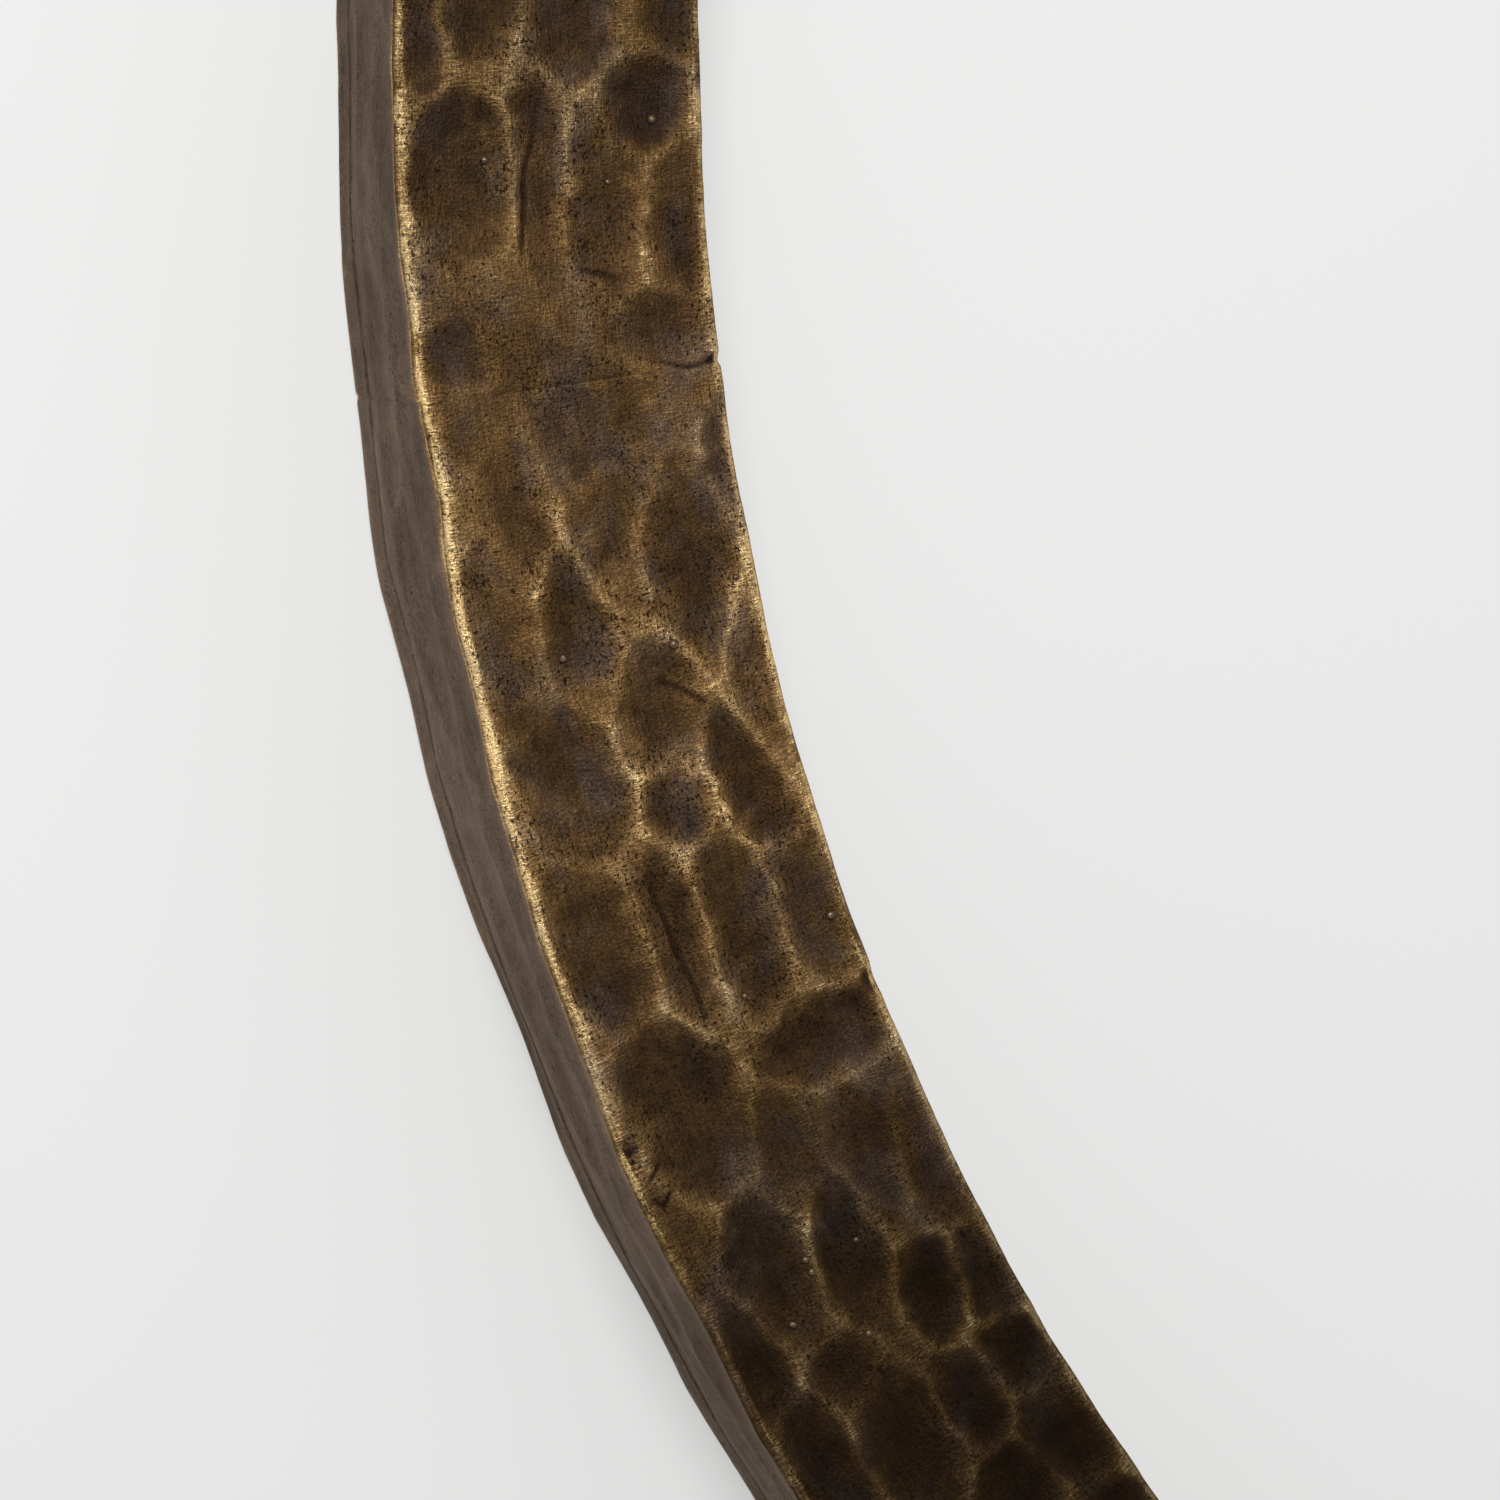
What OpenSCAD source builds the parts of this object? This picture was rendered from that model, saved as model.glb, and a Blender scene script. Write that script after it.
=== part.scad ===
// Cast bronze shofar with a rectangular section: a straight tapering neck, a long arc of constant
// section in two lengths, and a bell that flares and turns to face +X. It lies on its flat back at
// z = 0, with the mouthpiece towards -Y. Back and front castings close round a wind way of pipes.

/* [Body] */
// Width of the front face through the middle, across the curve
face_w = 40; // [39:1:44]
// Depth through the middle, from the back face to the front face
body_d = 30; // [29:1:33]
// Wall thickness of the castings
wall = 2.4; // [2.2:0.1:2.6]
// Height of the seam between back and front castings, as a share of the depth
seam_share = 0.2; // [0.19:0.01:0.22]
// Chamfer on the long edges of the middle and neck
edge_c = 1; // [0.6:0.1:1.4]

/* [Curve] */
// Centreline radius of the arc
arc_r = 338; // [320:2:360]
// Turn of the whole arc, from the neck to the bell, in degrees
arc_turn = 50; // [49:1:54]
// Turn at which the middle castings end and the upper castings begin, in degrees
mid_joint = 33.5; // [32:0.5:34.5]
// Centreline radius of the bell's bend
bell_r = 200; // [180:5:240]
// Straight length behind the bell's mouth
bell_straight = 60; // [50:5:80]

/* [Bell] */
// Outer width of the bell's mouth, across the curve
bell_w = 84; // [78:1:90]
// Outer depth of the bell's mouth
bell_d = 56; // [52:1:60]
// Chamfer on the long front edges at the bell's mouth
bell_c = 10; // [8:1:10]
// How far the rim stands proud of the bell castings
rim_proud = 1.5; // [1:0.1:2]
// Thickness of the rim along the horn
rim_t = 4; // [3:0.5:6]

/* [Neck] */
// Length of the straight neck castings
neck_l = 130; // [125:1:150]
// Width of the neck at the mouthpiece end
neck_w = 26; // [25:1:28]
// Depth of the neck at the mouthpiece end
neck_d = 24; // [23:1:26]

/* [Wind way] */
// Outer radius of the middle pipe
pipe_r = 9; // [8.8:0.1:9]
// Wall thickness of the pipes
pipe_t = 1; // [0.8:0.1:1.2]
// Outer radius of the lead pipe at the mouthpiece end
lead_r = 5.5; // [5:0.1:5.6]

/* [Mouthpiece] */
// Outer radius of the mouthpiece at its rim
cup_r = 12; // [11:0.5:13]
// Length of the mouthpiece outside its receiver
cup_l = 26; // [24:1:30]
// Length of the shank inside its receiver
shank_l = 24; // [20:1:24]

/* [Hidden] */

bronze = [0.27, 0.20, 0.13];
brass = [0.72, 0.56, 0.28];
steel = [0.62, 0.60, 0.56];

bore_z = body_d / 2;        // height of the wind way's axis in the neck and the middle
fine = 96;                  // facets on a full circle
tiny = 0.02;                // overlap that makes two volumes one
slip = 0.05;                // radial clearance of the mouthpiece's shank
loose = 0.2;                // clearance between pieces that are brazed or screwed
inner_c_min = 0.6;          // smallest chamfer inside a casting

lip_w = 1.4;                // thickness of the back castings' locating lip
lip_gap = 0.15;             // clearance between the lip and the front castings
lip_h = 3;                  // height of the lip above the seam
back_c = 0.8;               // chamfer on the back face's long edges, through the middle
back_c_bell = 8;            // the same chamfer at the bell's mouth

flare_inset = wall + lip_w + loose; // between the outsides of castings and flare, at the mouth
flare_sides = 48;           // points round the flare and the rim
mouth_power = 4;            // superellipse power of the flare's mouth; 2 is an ellipse

screw_x = 12.3;             // the screws' distance from the centreline, across the horn
screw_r = 1.5;
head_r = 2.9;
head_h = 1.6;
boss_r = 3;
boss_hole = screw_r + slip;
boss_depth = 9;             // depth of the screw hole in each boss
cradle_l = 8;               // length of a cradle along the horn
cradle_top = bore_z + 0.8;
cradle_half_w = face_w / 2 - wall - lip_w - inner_c_min - loose;
neck_cradle_y = -13;        // neck cradle's place, from the start of the middle arc
mid_cradles = [5, 28];      // turns at which the middle cradles stand, in degrees
upper_cradles = [37, 44];   // turns at which the upper cradles stand, in degrees

collar_l = 9;               // length of the neck collar
collar_t = 1.4;
collar_lap = 6;             // how far the collar reaches over the neck castings
receiver_r = 7.5;
receiver_l = 34;
receiver_out = 12;          // how far the receiver stands out of the neck castings
throat_r = 2.2;             // mouthpiece throat
cup_open_r = 8.2;           // radius of the cup inside its rim
cup_depth = 9;
ferrule_l = 16;
ferrule_t = 1;
braze_gap = 0.2;            // room in a ferrule for the braze and for the pipe's bend

// Places, in a frame with its origin where the neck meets the middle arc.
arc_c = [arc_r, 0];
bend_c = arc_c + (arc_r - bell_r) * [-cos(arc_turn), sin(arc_turn)];
mouth = bend_c + [bell_straight, bell_r];
rim_half_w = bell_w / 2 + rim_proud;
mouthpiece_end = -(neck_l + receiver_out + cup_l);

// The part's origin is the middle of its footprint, at the resting plane.
x_low = -face_w / 2;
x_high = mouth.x + rim_t;
y_high = mouth.y + rim_half_w;
origin = [(x_low + x_high) / 2, (mouthpiece_end + y_high) / 2, 0];

// The bell flares along a bend and a straight length. A station on it is [centre, outward
// direction, share of the flare's length].
bend_l = (90 - arc_turn) * PI / 180 * bell_r;
bell_l = bend_l + bell_straight;
function mix(a, b, k) = a + (b - a) * k;
function spread(first, from, to, step) =
    let (n = ceil((to - from) / step)) [for (k = [first:n]) mix(from, to, k / n)];
function out_at(turn) = [-cos(turn), sin(turn)];
function arc_point(turn) = arc_c + arc_r * out_at(turn);
function bend_station(turn) = [bend_c + bell_r * out_at(turn), out_at(turn),
                               (turn - arc_turn) / (90 - arc_turn) * bend_l / bell_l];
function mouth_station(past) = [[bend_c.x + past, mouth.y], [0, 1], (bend_l + past) / bell_l];
stations = concat([for (turn = spread(0, arc_turn, 90, 4)) bend_station(turn)],
                  [for (past = spread(1, 0, bell_straight, 12)) mouth_station(past)]);
function swell(station) = station[2] * station[2];

// A profile's points are [across, height]; at() stands them up at a station.
function at(station, profile) =
    [for (p = profile) [each station[0] + p[0] * station[1], p[1]]];

// Cross-sections of a front and a back casting, for the horn's outer width and depth there. The
// second half of the points runs back inside the first half, a partner for each.
function front_profile(w, d, c) =
    let (h = w / 2, seam = seam_share * d, top = d, i = h - wall, ci = max(inner_c_min, c - 2))
    [[i, seam], [h, seam], [h, top - c], [h - c, top], [c - h, top], [-h, top - c],
     [-h, seam], [-i, seam], [-i, top - wall - ci], [ci - i, top - wall],
     [i - ci, top - wall], [i, top - wall - ci]];

function back_profile(w, d, c) =
    let (h = w / 2, seam = seam_share * d, o = h - wall - lip_gap, i = h - wall - lip_w,
         lip_z = seam + lip_h, ci = max(inner_c_min, c - 3))
    [[-i, lip_z], [-o, lip_z], [-o, seam], [-h, seam], [-h, c], [c - h, 0],
     [h - c, 0], [h, c], [h, seam], [o, seam], [o, lip_z],
     [i, lip_z], [i, seam - 1], [i, (seam - 1 + wall + ci) / 2], [i, wall + ci], [i - ci, wall],
     [ci - i, wall], [-i, wall + ci], [-i, (seam - 1 + wall + ci) / 2], [-i, seam - 1]];

// A closed loop of points in the station's plane, from an ellipse to a rounded rectangle.
function power(v, p) = sign(v) * pow(abs(v), p);
function loop(a, b, height, n) = [for (k = [0:flare_sides - 1])
    let (t = 360 * k / flare_sides) [a * power(cos(t), 2 / n), height + b * power(sin(t), 2 / n)]];

function flare_ring(station, inset) =
    let (k = swell(station), n = mix(2, mouth_power, k))
    at(station, loop(mix(pipe_r, bell_w / 2 - flare_inset, k) - inset,
                     mix(pipe_r, bell_d / 2 - flare_inset, k) - inset,
                     mix(bore_z, bell_d / 2, k), n));

// A solid through a list of rings that have the same number of points. The rings run
// counter-clockwise when seen from the last ring. Its ends are strips between partner points.
module skin(rings) {
    n = len(rings[0]);
    last = (len(rings) - 1) * n;
    ends = [for (k = [1:n / 2 - 1]) [k, k + 1, (n - k) % n, (n + 1 - k) % n]];
    polyhedron(
        points = [for (ring = rings) each ring],
        faces = concat(
            ends,
            [for (e = ends) [last + e[3], last + e[2], last + e[1], last + e[0]]],
            [for (j = [0:n:last - n], i = [0:n - 1]) [j + i, j + n + i, j + (i + 1) % n]],
            [for (j = [0:n:last - n], i = [0:n - 1])
                [j + (i + 1) % n, j + n + i, j + n + (i + 1) % n]]));
}

module placed() { translate(-origin) children(); }
// Stands children on the centreline, with X pointing outwards.
module stand(turn) {
    translate([each arc_point(turn), 0]) rotate([0, 0, 180 - turn]) children();
}
// Sweeps a flat profile along the arc.
module arc_sweep(from, to) {
    translate([each arc_c, 0]) rotate([0, 0, 180 - to])
        rotate_extrude(angle = to - from, $fn = 4 * fine) translate([arc_r, 0]) children();
}

// The neck tapers evenly round the wind way's axis, from y = 0 to y = -neck_l.
function neck_w_at(y) = mix(face_w, neck_w, -y / neck_l);
function neck_d_at(y) = mix(body_d, neck_d, -y / neck_l);
function neck_base(y) = bore_z - neck_d_at(y) / 2;

function bell_w_at(station) = mix(face_w, bell_w, swell(station));
function bell_d_at(station) = mix(body_d, bell_d, swell(station));

// Two bosses hang from a front casting's ceiling and land on a cradle's shoulders.
module bosses(ceiling) {
    for (side = [-1, 1]) translate([side * screw_x, 0, cradle_top])
        cylinder(r = boss_r, h = ceiling - cradle_top + tiny, $fn = fine);
}
module boss_holes() {
    for (side = [-1, 1]) translate([side * screw_x, 0, cradle_top - tiny])
        cylinder(r = boss_hole, h = boss_depth, $fn = fine);
}
// Countersunk holes through a back casting's floor.
module floor_holes(base) {
    for (side = [-1, 1]) translate([side * screw_x, 0, base]) {
        translate([0, 0, -1]) cylinder(r = screw_r + loose / 2, h = wall + 2, $fn = fine);
        translate([0, 0, -tiny]) cylinder(r1 = head_r + loose, r2 = screw_r + loose / 2,
                                          h = head_h + loose, $fn = fine);
    }
}
module screws(base) {
    for (side = [-1, 1]) translate([side * screw_x, 0, base]) {
        cylinder(r1 = head_r, r2 = screw_r, h = head_h, $fn = fine);
        cylinder(r = screw_r, h = cradle_top + boss_depth - base - 1, $fn = fine);
    }
}
// A block under the wind way, with a round seat for the pipe and two screw holes.
module cradle(half_w, floor_z) {
    color(brass) difference() {
        translate([-half_w, -cradle_l / 2, floor_z])
            cube([2 * half_w, cradle_l, cradle_top - floor_z]);
        translate([0, 0, bore_z]) rotate([90, 0, 0])
            cylinder(r = pipe_r + loose, h = cradle_l + 2, center = true, $fn = fine);
        for (side = [-1, 1]) translate([side * screw_x, 0, 0])
            cylinder(r = screw_r + loose, h = body_d, $fn = fine);
    }
}

// The convex block between the neck's ends, reaching past them, with its long sides set in. Its
// lowest and highest levels are [share of the neck's depth, millimetres more].
module neck_block(past, inset, low, high, low_c = 0, high_c = 0) {
    hull() for (y = [-neck_l - past, past]) {
        h = neck_w_at(y) / 2 - inset;
        low_z = neck_base(y) + low[0] * neck_d_at(y) + low[1];
        high_z = neck_base(y) + high[0] * neck_d_at(y) + high[1];
        translate([0, y < 0 ? y + tiny : y, 0]) rotate([90, 0, 0]) linear_extrude(tiny)
            polygon([[low_c - h, low_z], [h - low_c, low_z], [h, low_z + low_c],
                     [h, high_z - high_c], [h - high_c, high_z], [high_c - h, high_z],
                     [-h, high_z - high_c], [-h, low_z + low_c]]);
    }
}

module neck_front_shell() {
    color(bronze) difference() {
        union() {
            difference() {
                neck_block(0, 0, [seam_share, 0], [1, 0], high_c = edge_c);
                neck_block(1, wall, [0, 0], [1, -wall], high_c = inner_c_min);
            }
            translate([0, neck_cradle_y, 0])
                bosses(neck_base(neck_cradle_y) + neck_d_at(neck_cradle_y) - wall + 2 * loose);
        }
        translate([0, neck_cradle_y, 0]) boss_holes();
    }
}

module neck_back_shell() {
    color(bronze) difference() {
        union() {
            neck_block(0, 0, [0, 0], [seam_share, 0], low_c = back_c);
            neck_block(0, wall + lip_gap, [seam_share, -1], [seam_share, lip_h]);
        }
        neck_block(1, wall + lip_w, [0, wall], [1, 0], low_c = inner_c_min);
        translate([0, neck_cradle_y, 0]) floor_holes(neck_base(neck_cradle_y));
    }
}

// A length of the arc's front or back castings, with its bosses or screw holes.
module arc_front(from, to, cradles) {
    color(bronze) difference() {
        union() {
            arc_sweep(from, to) polygon(front_profile(face_w, body_d, edge_c));
            for (turn = cradles) stand(turn) bosses(body_d - wall);
        }
        for (turn = cradles) stand(turn) boss_holes();
    }
}
module arc_back(from, to, cradles) {
    color(bronze) difference() {
        arc_sweep(from, to) polygon(back_profile(face_w, body_d, back_c));
        for (turn = cradles) stand(turn) floor_holes(0);
    }
}
module mid_front_shell() { arc_front(0, mid_joint, mid_cradles); }
module mid_back_shell() { arc_back(0, mid_joint, mid_cradles); }
module upper_front_shell() { arc_front(mid_joint, arc_turn, upper_cradles); }
module upper_back_shell() { arc_back(mid_joint, arc_turn, upper_cradles); }

module bell_front_shell() {
    color(bronze) skin([for (s = stations)
        at(s, front_profile(bell_w_at(s), bell_d_at(s), mix(edge_c, bell_c, swell(s))))]);
}

module bell_back_shell() {
    color(bronze) skin([for (s = stations)
        at(s, back_profile(bell_w_at(s), bell_d_at(s), mix(back_c, back_c_bell, swell(s))))]);
}

// A flat ring over the ends of the bell castings and the flare. Its underside is flush with theirs.
module bell_rim() {
    h = rim_half_w;
    top = bell_d + rim_proud;
    inner = [bell_w / 2 - flare_inset - pipe_t, bell_d / 2 - flare_inset - pipe_t];
    color(bronze) translate([mouth.x, mouth.y, 0]) rotate([90, 0, 90]) linear_extrude(rim_t)
        difference() {
            polygon([[h - back_c_bell, 0], [h, back_c_bell], [h, top - bell_c], [h - bell_c, top],
                     [bell_c - h, top], [-h, top - bell_c], [-h, back_c_bell], [back_c_bell - h, 0]]);
            polygon(loop(inner.x, inner.y, bell_d / 2, mouth_power));
        }
}

module bell_flare() {
    before = [arc_point(arc_turn - 0.1), out_at(arc_turn), 0];
    after = [mouth + [tiny, 0], [0, 1], 1];
    color(brass) difference() {
        skin([for (s = stations) flare_ring(s, 0)]);
        skin([for (s = concat([before], stations, [after])) flare_ring(s, pipe_t)]);
    }
}

module arc_pipe() {
    color(brass) arc_sweep(0, arc_turn) translate([0, bore_z]) difference() {
        circle(r = pipe_r, $fn = fine);
        circle(r = pipe_r - pipe_t, $fn = fine);
    }
}

// Straight in the ferrule, then a cone, then straight in the receiver as far as the shank's end.
module lead_pipe() {
    far = neck_l + receiver_out - shank_l;
    cone_far = neck_l + receiver_out - receiver_l - 2;
    cone_near = ferrule_l / 2;
    color(brass) translate([0, 0, bore_z]) rotate([90, 0, 0]) rotate_extrude($fn = fine)
        polygon([[pipe_r - pipe_t, 0], [pipe_r, 0], [pipe_r, cone_near], [lead_r, cone_far],
                 [lead_r, far], [lead_r - pipe_t, far], [lead_r - pipe_t, cone_far],
                 [pipe_r - pipe_t, cone_near]]);
}

// Sleeves over the butt joints of the pipes.
module sleeve_ring() {
    difference() {
        circle(r = pipe_r + braze_gap + ferrule_t, $fn = fine);
        circle(r = pipe_r + braze_gap, $fn = fine);
    }
}
module lead_ferrule() {
    color(brass) translate([0, 0, bore_z]) rotate([90, 0, 0])
        linear_extrude(ferrule_l, center = true) sleeve_ring();
}
module bell_ferrule() {
    half_turn = ferrule_l / 2 / arc_r * 180 / PI;
    color(brass) translate([0, 0, bore_z])
        arc_sweep(arc_turn - half_turn, arc_turn + half_turn) sleeve_ring();
}

module neck_cradle() {
    base = neck_base(neck_cradle_y - cradle_l / 2);
    narrow = (face_w - neck_w_at(neck_cradle_y - cradle_l / 2)) / 2;
    translate([0, neck_cradle_y, 0]) cradle(cradle_half_w - narrow, base + wall);
}
module mid_cradle_1() { stand(mid_cradles[0]) cradle(cradle_half_w, wall); }
module mid_cradle_2() { stand(mid_cradles[1]) cradle(cradle_half_w, wall); }
module upper_cradle_1() { stand(upper_cradles[0]) cradle(cradle_half_w, wall); }
module upper_cradle_2() { stand(upper_cradles[1]) cradle(cradle_half_w, wall); }

// A cap that slips over the neck castings' ends and carries the receiver.
module neck_collar() {
    lap_y = -neck_l + collar_lap;
    pocket = [neck_w_at(lap_y) + loose, neck_d_at(lap_y) + loose];
    size = pocket + 2 * [collar_t, collar_t];
    color(bronze) difference() {
        translate([-size.x / 2, lap_y - collar_l, bore_z - size.y / 2])
            cube([size.x, collar_l, size.y]);
        translate([-pocket.x / 2, -neck_l, bore_z - pocket.y / 2])
            cube([pocket.x, collar_lap + 1, pocket.y]);
        translate([0, 0, bore_z]) rotate([90, 0, 0])
            cylinder(r = receiver_r + slip, h = neck_l + collar_l, $fn = fine);
    }
}

module mouthpiece_receiver() {
    color(brass) translate([0, -(neck_l + receiver_out - receiver_l), bore_z]) rotate([90, 0, 0])
        difference() {
            cylinder(r = receiver_r, h = receiver_l, $fn = fine);
            translate([0, 0, -1]) cylinder(r = lead_r + slip, h = receiver_l + 2, $fn = fine);
        }
}

// Turned mouthpiece: shank, shoulder, waist and cup, on the neck's axis.
module mouthpiece() {
    shoulder_r = 8.5;
    shoulder_l = 3;
    waist_r = 6.5;
    waist_at = 9;
    cup_back = cup_l - 11;
    rim_round = 1.6;
    rim_r = cup_r - rim_round;
    color(brass) translate([0, -(neck_l + receiver_out), bore_z]) rotate([90, 0, 0])
        rotate_extrude($fn = fine) {
            difference() {
                polygon([[0, -shank_l + loose], [lead_r, -shank_l + loose], [lead_r, 0],
                         [shoulder_r, 0], [shoulder_r, shoulder_l], [waist_r, waist_at],
                         [rim_r, cup_back], [cup_r, cup_l - 3 * rim_round],
                         [cup_r, cup_l - rim_round], [rim_r, cup_l], [0, cup_l]]);
                polygon([[-1, -shank_l], [lead_r - pipe_t, -shank_l],
                         [throat_r, cup_l - cup_depth - 6], [throat_r, cup_l - cup_depth],
                         [cup_open_r, cup_l - rim_round], [cup_open_r + rim_round / 2, cup_l + tiny],
                         [-1, cup_l + tiny]]);
            }
        }
}

module shell_screws() {
    color(steel) {
        translate([0, neck_cradle_y, 0]) screws(neck_base(neck_cradle_y) + loose);
        for (turn = concat(mid_cradles, upper_cradles)) stand(turn) screws(loose);
    }
}

placed() neck_front_shell();
placed() neck_back_shell();
placed() mid_front_shell();
placed() mid_back_shell();
placed() upper_front_shell();
placed() upper_back_shell();
placed() bell_front_shell();
placed() bell_back_shell();
placed() bell_rim();
placed() bell_flare();
placed() arc_pipe();
placed() lead_pipe();
placed() bell_ferrule();
placed() lead_ferrule();
placed() neck_cradle();
placed() mid_cradle_1();
placed() mid_cradle_2();
placed() upper_cradle_1();
placed() upper_cradle_2();
placed() neck_collar();
placed() mouthpiece_receiver();
placed() mouthpiece();
placed() shell_screws();
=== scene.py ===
"""The looks of a cast bronze shofar: gouged and rubbed castings, brass inside, a turned mouthpiece.

The castings are swept along the horn's centreline. A place on them is (along, across, height) in
millimetres: along the centreline from where the neck meets the arc, across it with plus on the
outside of the curve, and above the resting plane.
"""
import math

import bpy
import numpy as np
from mathutils import Matrix, Vector


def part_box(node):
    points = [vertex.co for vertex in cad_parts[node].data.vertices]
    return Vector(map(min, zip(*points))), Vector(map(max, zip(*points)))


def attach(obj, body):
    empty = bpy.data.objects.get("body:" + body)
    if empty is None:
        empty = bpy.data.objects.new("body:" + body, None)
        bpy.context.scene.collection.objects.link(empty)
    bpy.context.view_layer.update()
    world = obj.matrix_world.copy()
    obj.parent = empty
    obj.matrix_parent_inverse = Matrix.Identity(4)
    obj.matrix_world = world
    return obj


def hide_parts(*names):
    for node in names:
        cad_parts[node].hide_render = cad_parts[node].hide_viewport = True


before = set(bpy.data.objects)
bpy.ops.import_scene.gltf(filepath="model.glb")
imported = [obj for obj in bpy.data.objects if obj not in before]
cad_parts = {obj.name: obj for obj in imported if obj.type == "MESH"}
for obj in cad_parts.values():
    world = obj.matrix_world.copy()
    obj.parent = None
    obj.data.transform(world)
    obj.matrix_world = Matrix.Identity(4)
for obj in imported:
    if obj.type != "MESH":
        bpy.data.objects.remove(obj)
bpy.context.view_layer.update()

# ---------------------------------------------------------------- the horn's sizes, in millimetres
MM = 0.001
FACE_W = 40.0
BODY_D = 30.0
WALL = 2.4
BACK_LIP = 1.4  # how much thicker a back casting's sides are
SEAM_SHARE = 0.2  # height of the seam, as a share of the depth
EDGE_C = 1.0  # long chamfers, at the front and the back
BACK_C = 0.8
ARC_R = 338.0  # the centreline's radius
ARC_TURN = 50.0
JOINT_TURN = 33.5  # where the middle castings meet the upper ones
BELL_R = 200.0
BELL_STRAIGHT = 60.0
BELL_W = 84.0
BELL_D = 56.0
BELL_C = 10.0
BELL_BACK_C = 8.0
NECK_L = 130.0
NECK_W = 26.0
NECK_D = 24.0
PIPE_R = 9.0
PIPE_T = 1.0
LEAD_R = 5.5
RIM_T = 4.0
RIM_PROUD = 1.5
FLARE_INSET = 4.0  # from the casting's outside to the flare's, at the mouth
RECEIVER_R = 7.5
RECEIVER_L = 34.0
RECEIVER_OUT = 12.0
CUP_L = 26.0
CUP_R = 12.0
SHANK_L = 24.0
SCREW_X = 12.3
HOLE_R = 1.6
HOLE_HEAD_R = 3.1
HOLE_HEAD_L = 1.8
HOLE_L = 4.6

AXIS_Z = BODY_D / 2
ARC_L = math.radians(ARC_TURN) * ARC_R
JOINT_L = math.radians(JOINT_TURN) * ARC_R
BEND_L = math.radians(90 - ARC_TURN) * BELL_R
BELL_L = BEND_L + BELL_STRAIGHT
ARC_C = np.array([ARC_R, 0.0])
ARC_END_OUT = np.array([-math.cos(math.radians(ARC_TURN)), math.sin(math.radians(ARC_TURN))])
BEND_C = ARC_C + (ARC_R - BELL_R) * ARC_END_OUT
MOUTH = BEND_C + np.array([BELL_STRAIGHT, BELL_R])

# The neck's wide end is FACE_W across at along = 0 and its narrow end is at along = -NECK_L.
NECK_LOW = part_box("neck_front_shell")[0]
ORIGIN = np.array([-FACE_W / 2 - NECK_LOW[0] / MM, -NECK_L - NECK_LOW[1] / MM])


def mix(a, b, k):
    return a + (b - a) * k


def ease(k):
    k = np.clip(k, 0, 1)
    return k * k * (3 - 2 * k)


def at_turn(table, along):
    """A (turn, value) table read at each place along the horn."""
    turns, values = zip(*table)
    return np.interp(np.degrees(along / ARC_R), turns, values)


def arc_length(turn):
    """The place along the horn at a turn in degrees."""
    return math.radians(turn) * ARC_R


def section(along):
    """The horn's centre, outward direction, half width, base, top and long chamfers at each place."""
    along = np.asarray(along, float)
    arc = np.clip(along, 0, ARC_L) / ARC_R
    bend = np.clip(along - ARC_L, 0, BEND_L) / BELL_R
    past = np.clip(along - ARC_L - BEND_L, 0, None)
    turn = arc + bend
    out = np.stack([-np.cos(turn), np.sin(turn)], -1)
    on_bell = (along > ARC_L)[:, None]
    centre = np.where(on_bell, BEND_C + BELL_R * out, ARC_C + ARC_R * out)
    centre = centre + np.stack([past, np.minimum(along, 0)], -1)
    swell = np.clip((along - ARC_L) / BELL_L, 0, 1) ** 2
    taper = np.clip(-along / NECK_L, 0, 1)
    width = FACE_W + (NECK_W - FACE_W) * taper + (BELL_W - FACE_W) * swell
    depth = BODY_D + (NECK_D - BODY_D) * taper + (BELL_D - BODY_D) * swell
    base = np.where(along < 0, AXIS_Z - depth / 2, 0)
    return {"centre": centre, "out": out, "half": width / 2, "base": base, "top": base + depth,
            "seam": base + SEAM_SHARE * depth, "front_c": mix(EDGE_C, BELL_C, swell),
            "back_c": mix(BACK_C, BELL_BACK_C, swell), "swell": swell}


def stand(sec, across, height):
    """Points in the row frame, in metres, for rows of (across, height) at each station."""
    xy = sec["centre"][:, None, :] + sec["out"][:, None, :] * across[..., None] - ORIGIN
    return np.concatenate([xy, height[..., None]], -1) * MM


# ---------------------------------------------------------------- noise and gouges
def value_noise(a, b, size_a, size_b, seed):
    """Smooth noise from -1 to 1 whose bumps are about size_a by size_b."""
    rng = np.random.default_rng(seed)
    n = 256
    grid = rng.uniform(-1, 1, (n, n))
    u = a / size_a + 1000
    v = b / size_b + 1000
    i = np.floor(u).astype(int)
    j = np.floor(v).astype(int)
    fu = ease(u - i)
    fv = ease(v - j)
    low = mix(grid[i % n, j % n], grid[(i + 1) % n, j % n], fu)
    high = mix(grid[i % n, (j + 1) % n], grid[(i + 1) % n, (j + 1) % n], fu)
    return mix(low, high, fv)


def rough(a, b, size, seed):
    """Three octaves of noise."""
    return (value_noise(a, b, size, size, seed) + 0.5 * value_noise(a, b, size / 2, size / 2, seed + 1)
            + 0.25 * value_noise(a, b, size / 4, size / 4, seed + 2)) / 1.75


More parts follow.
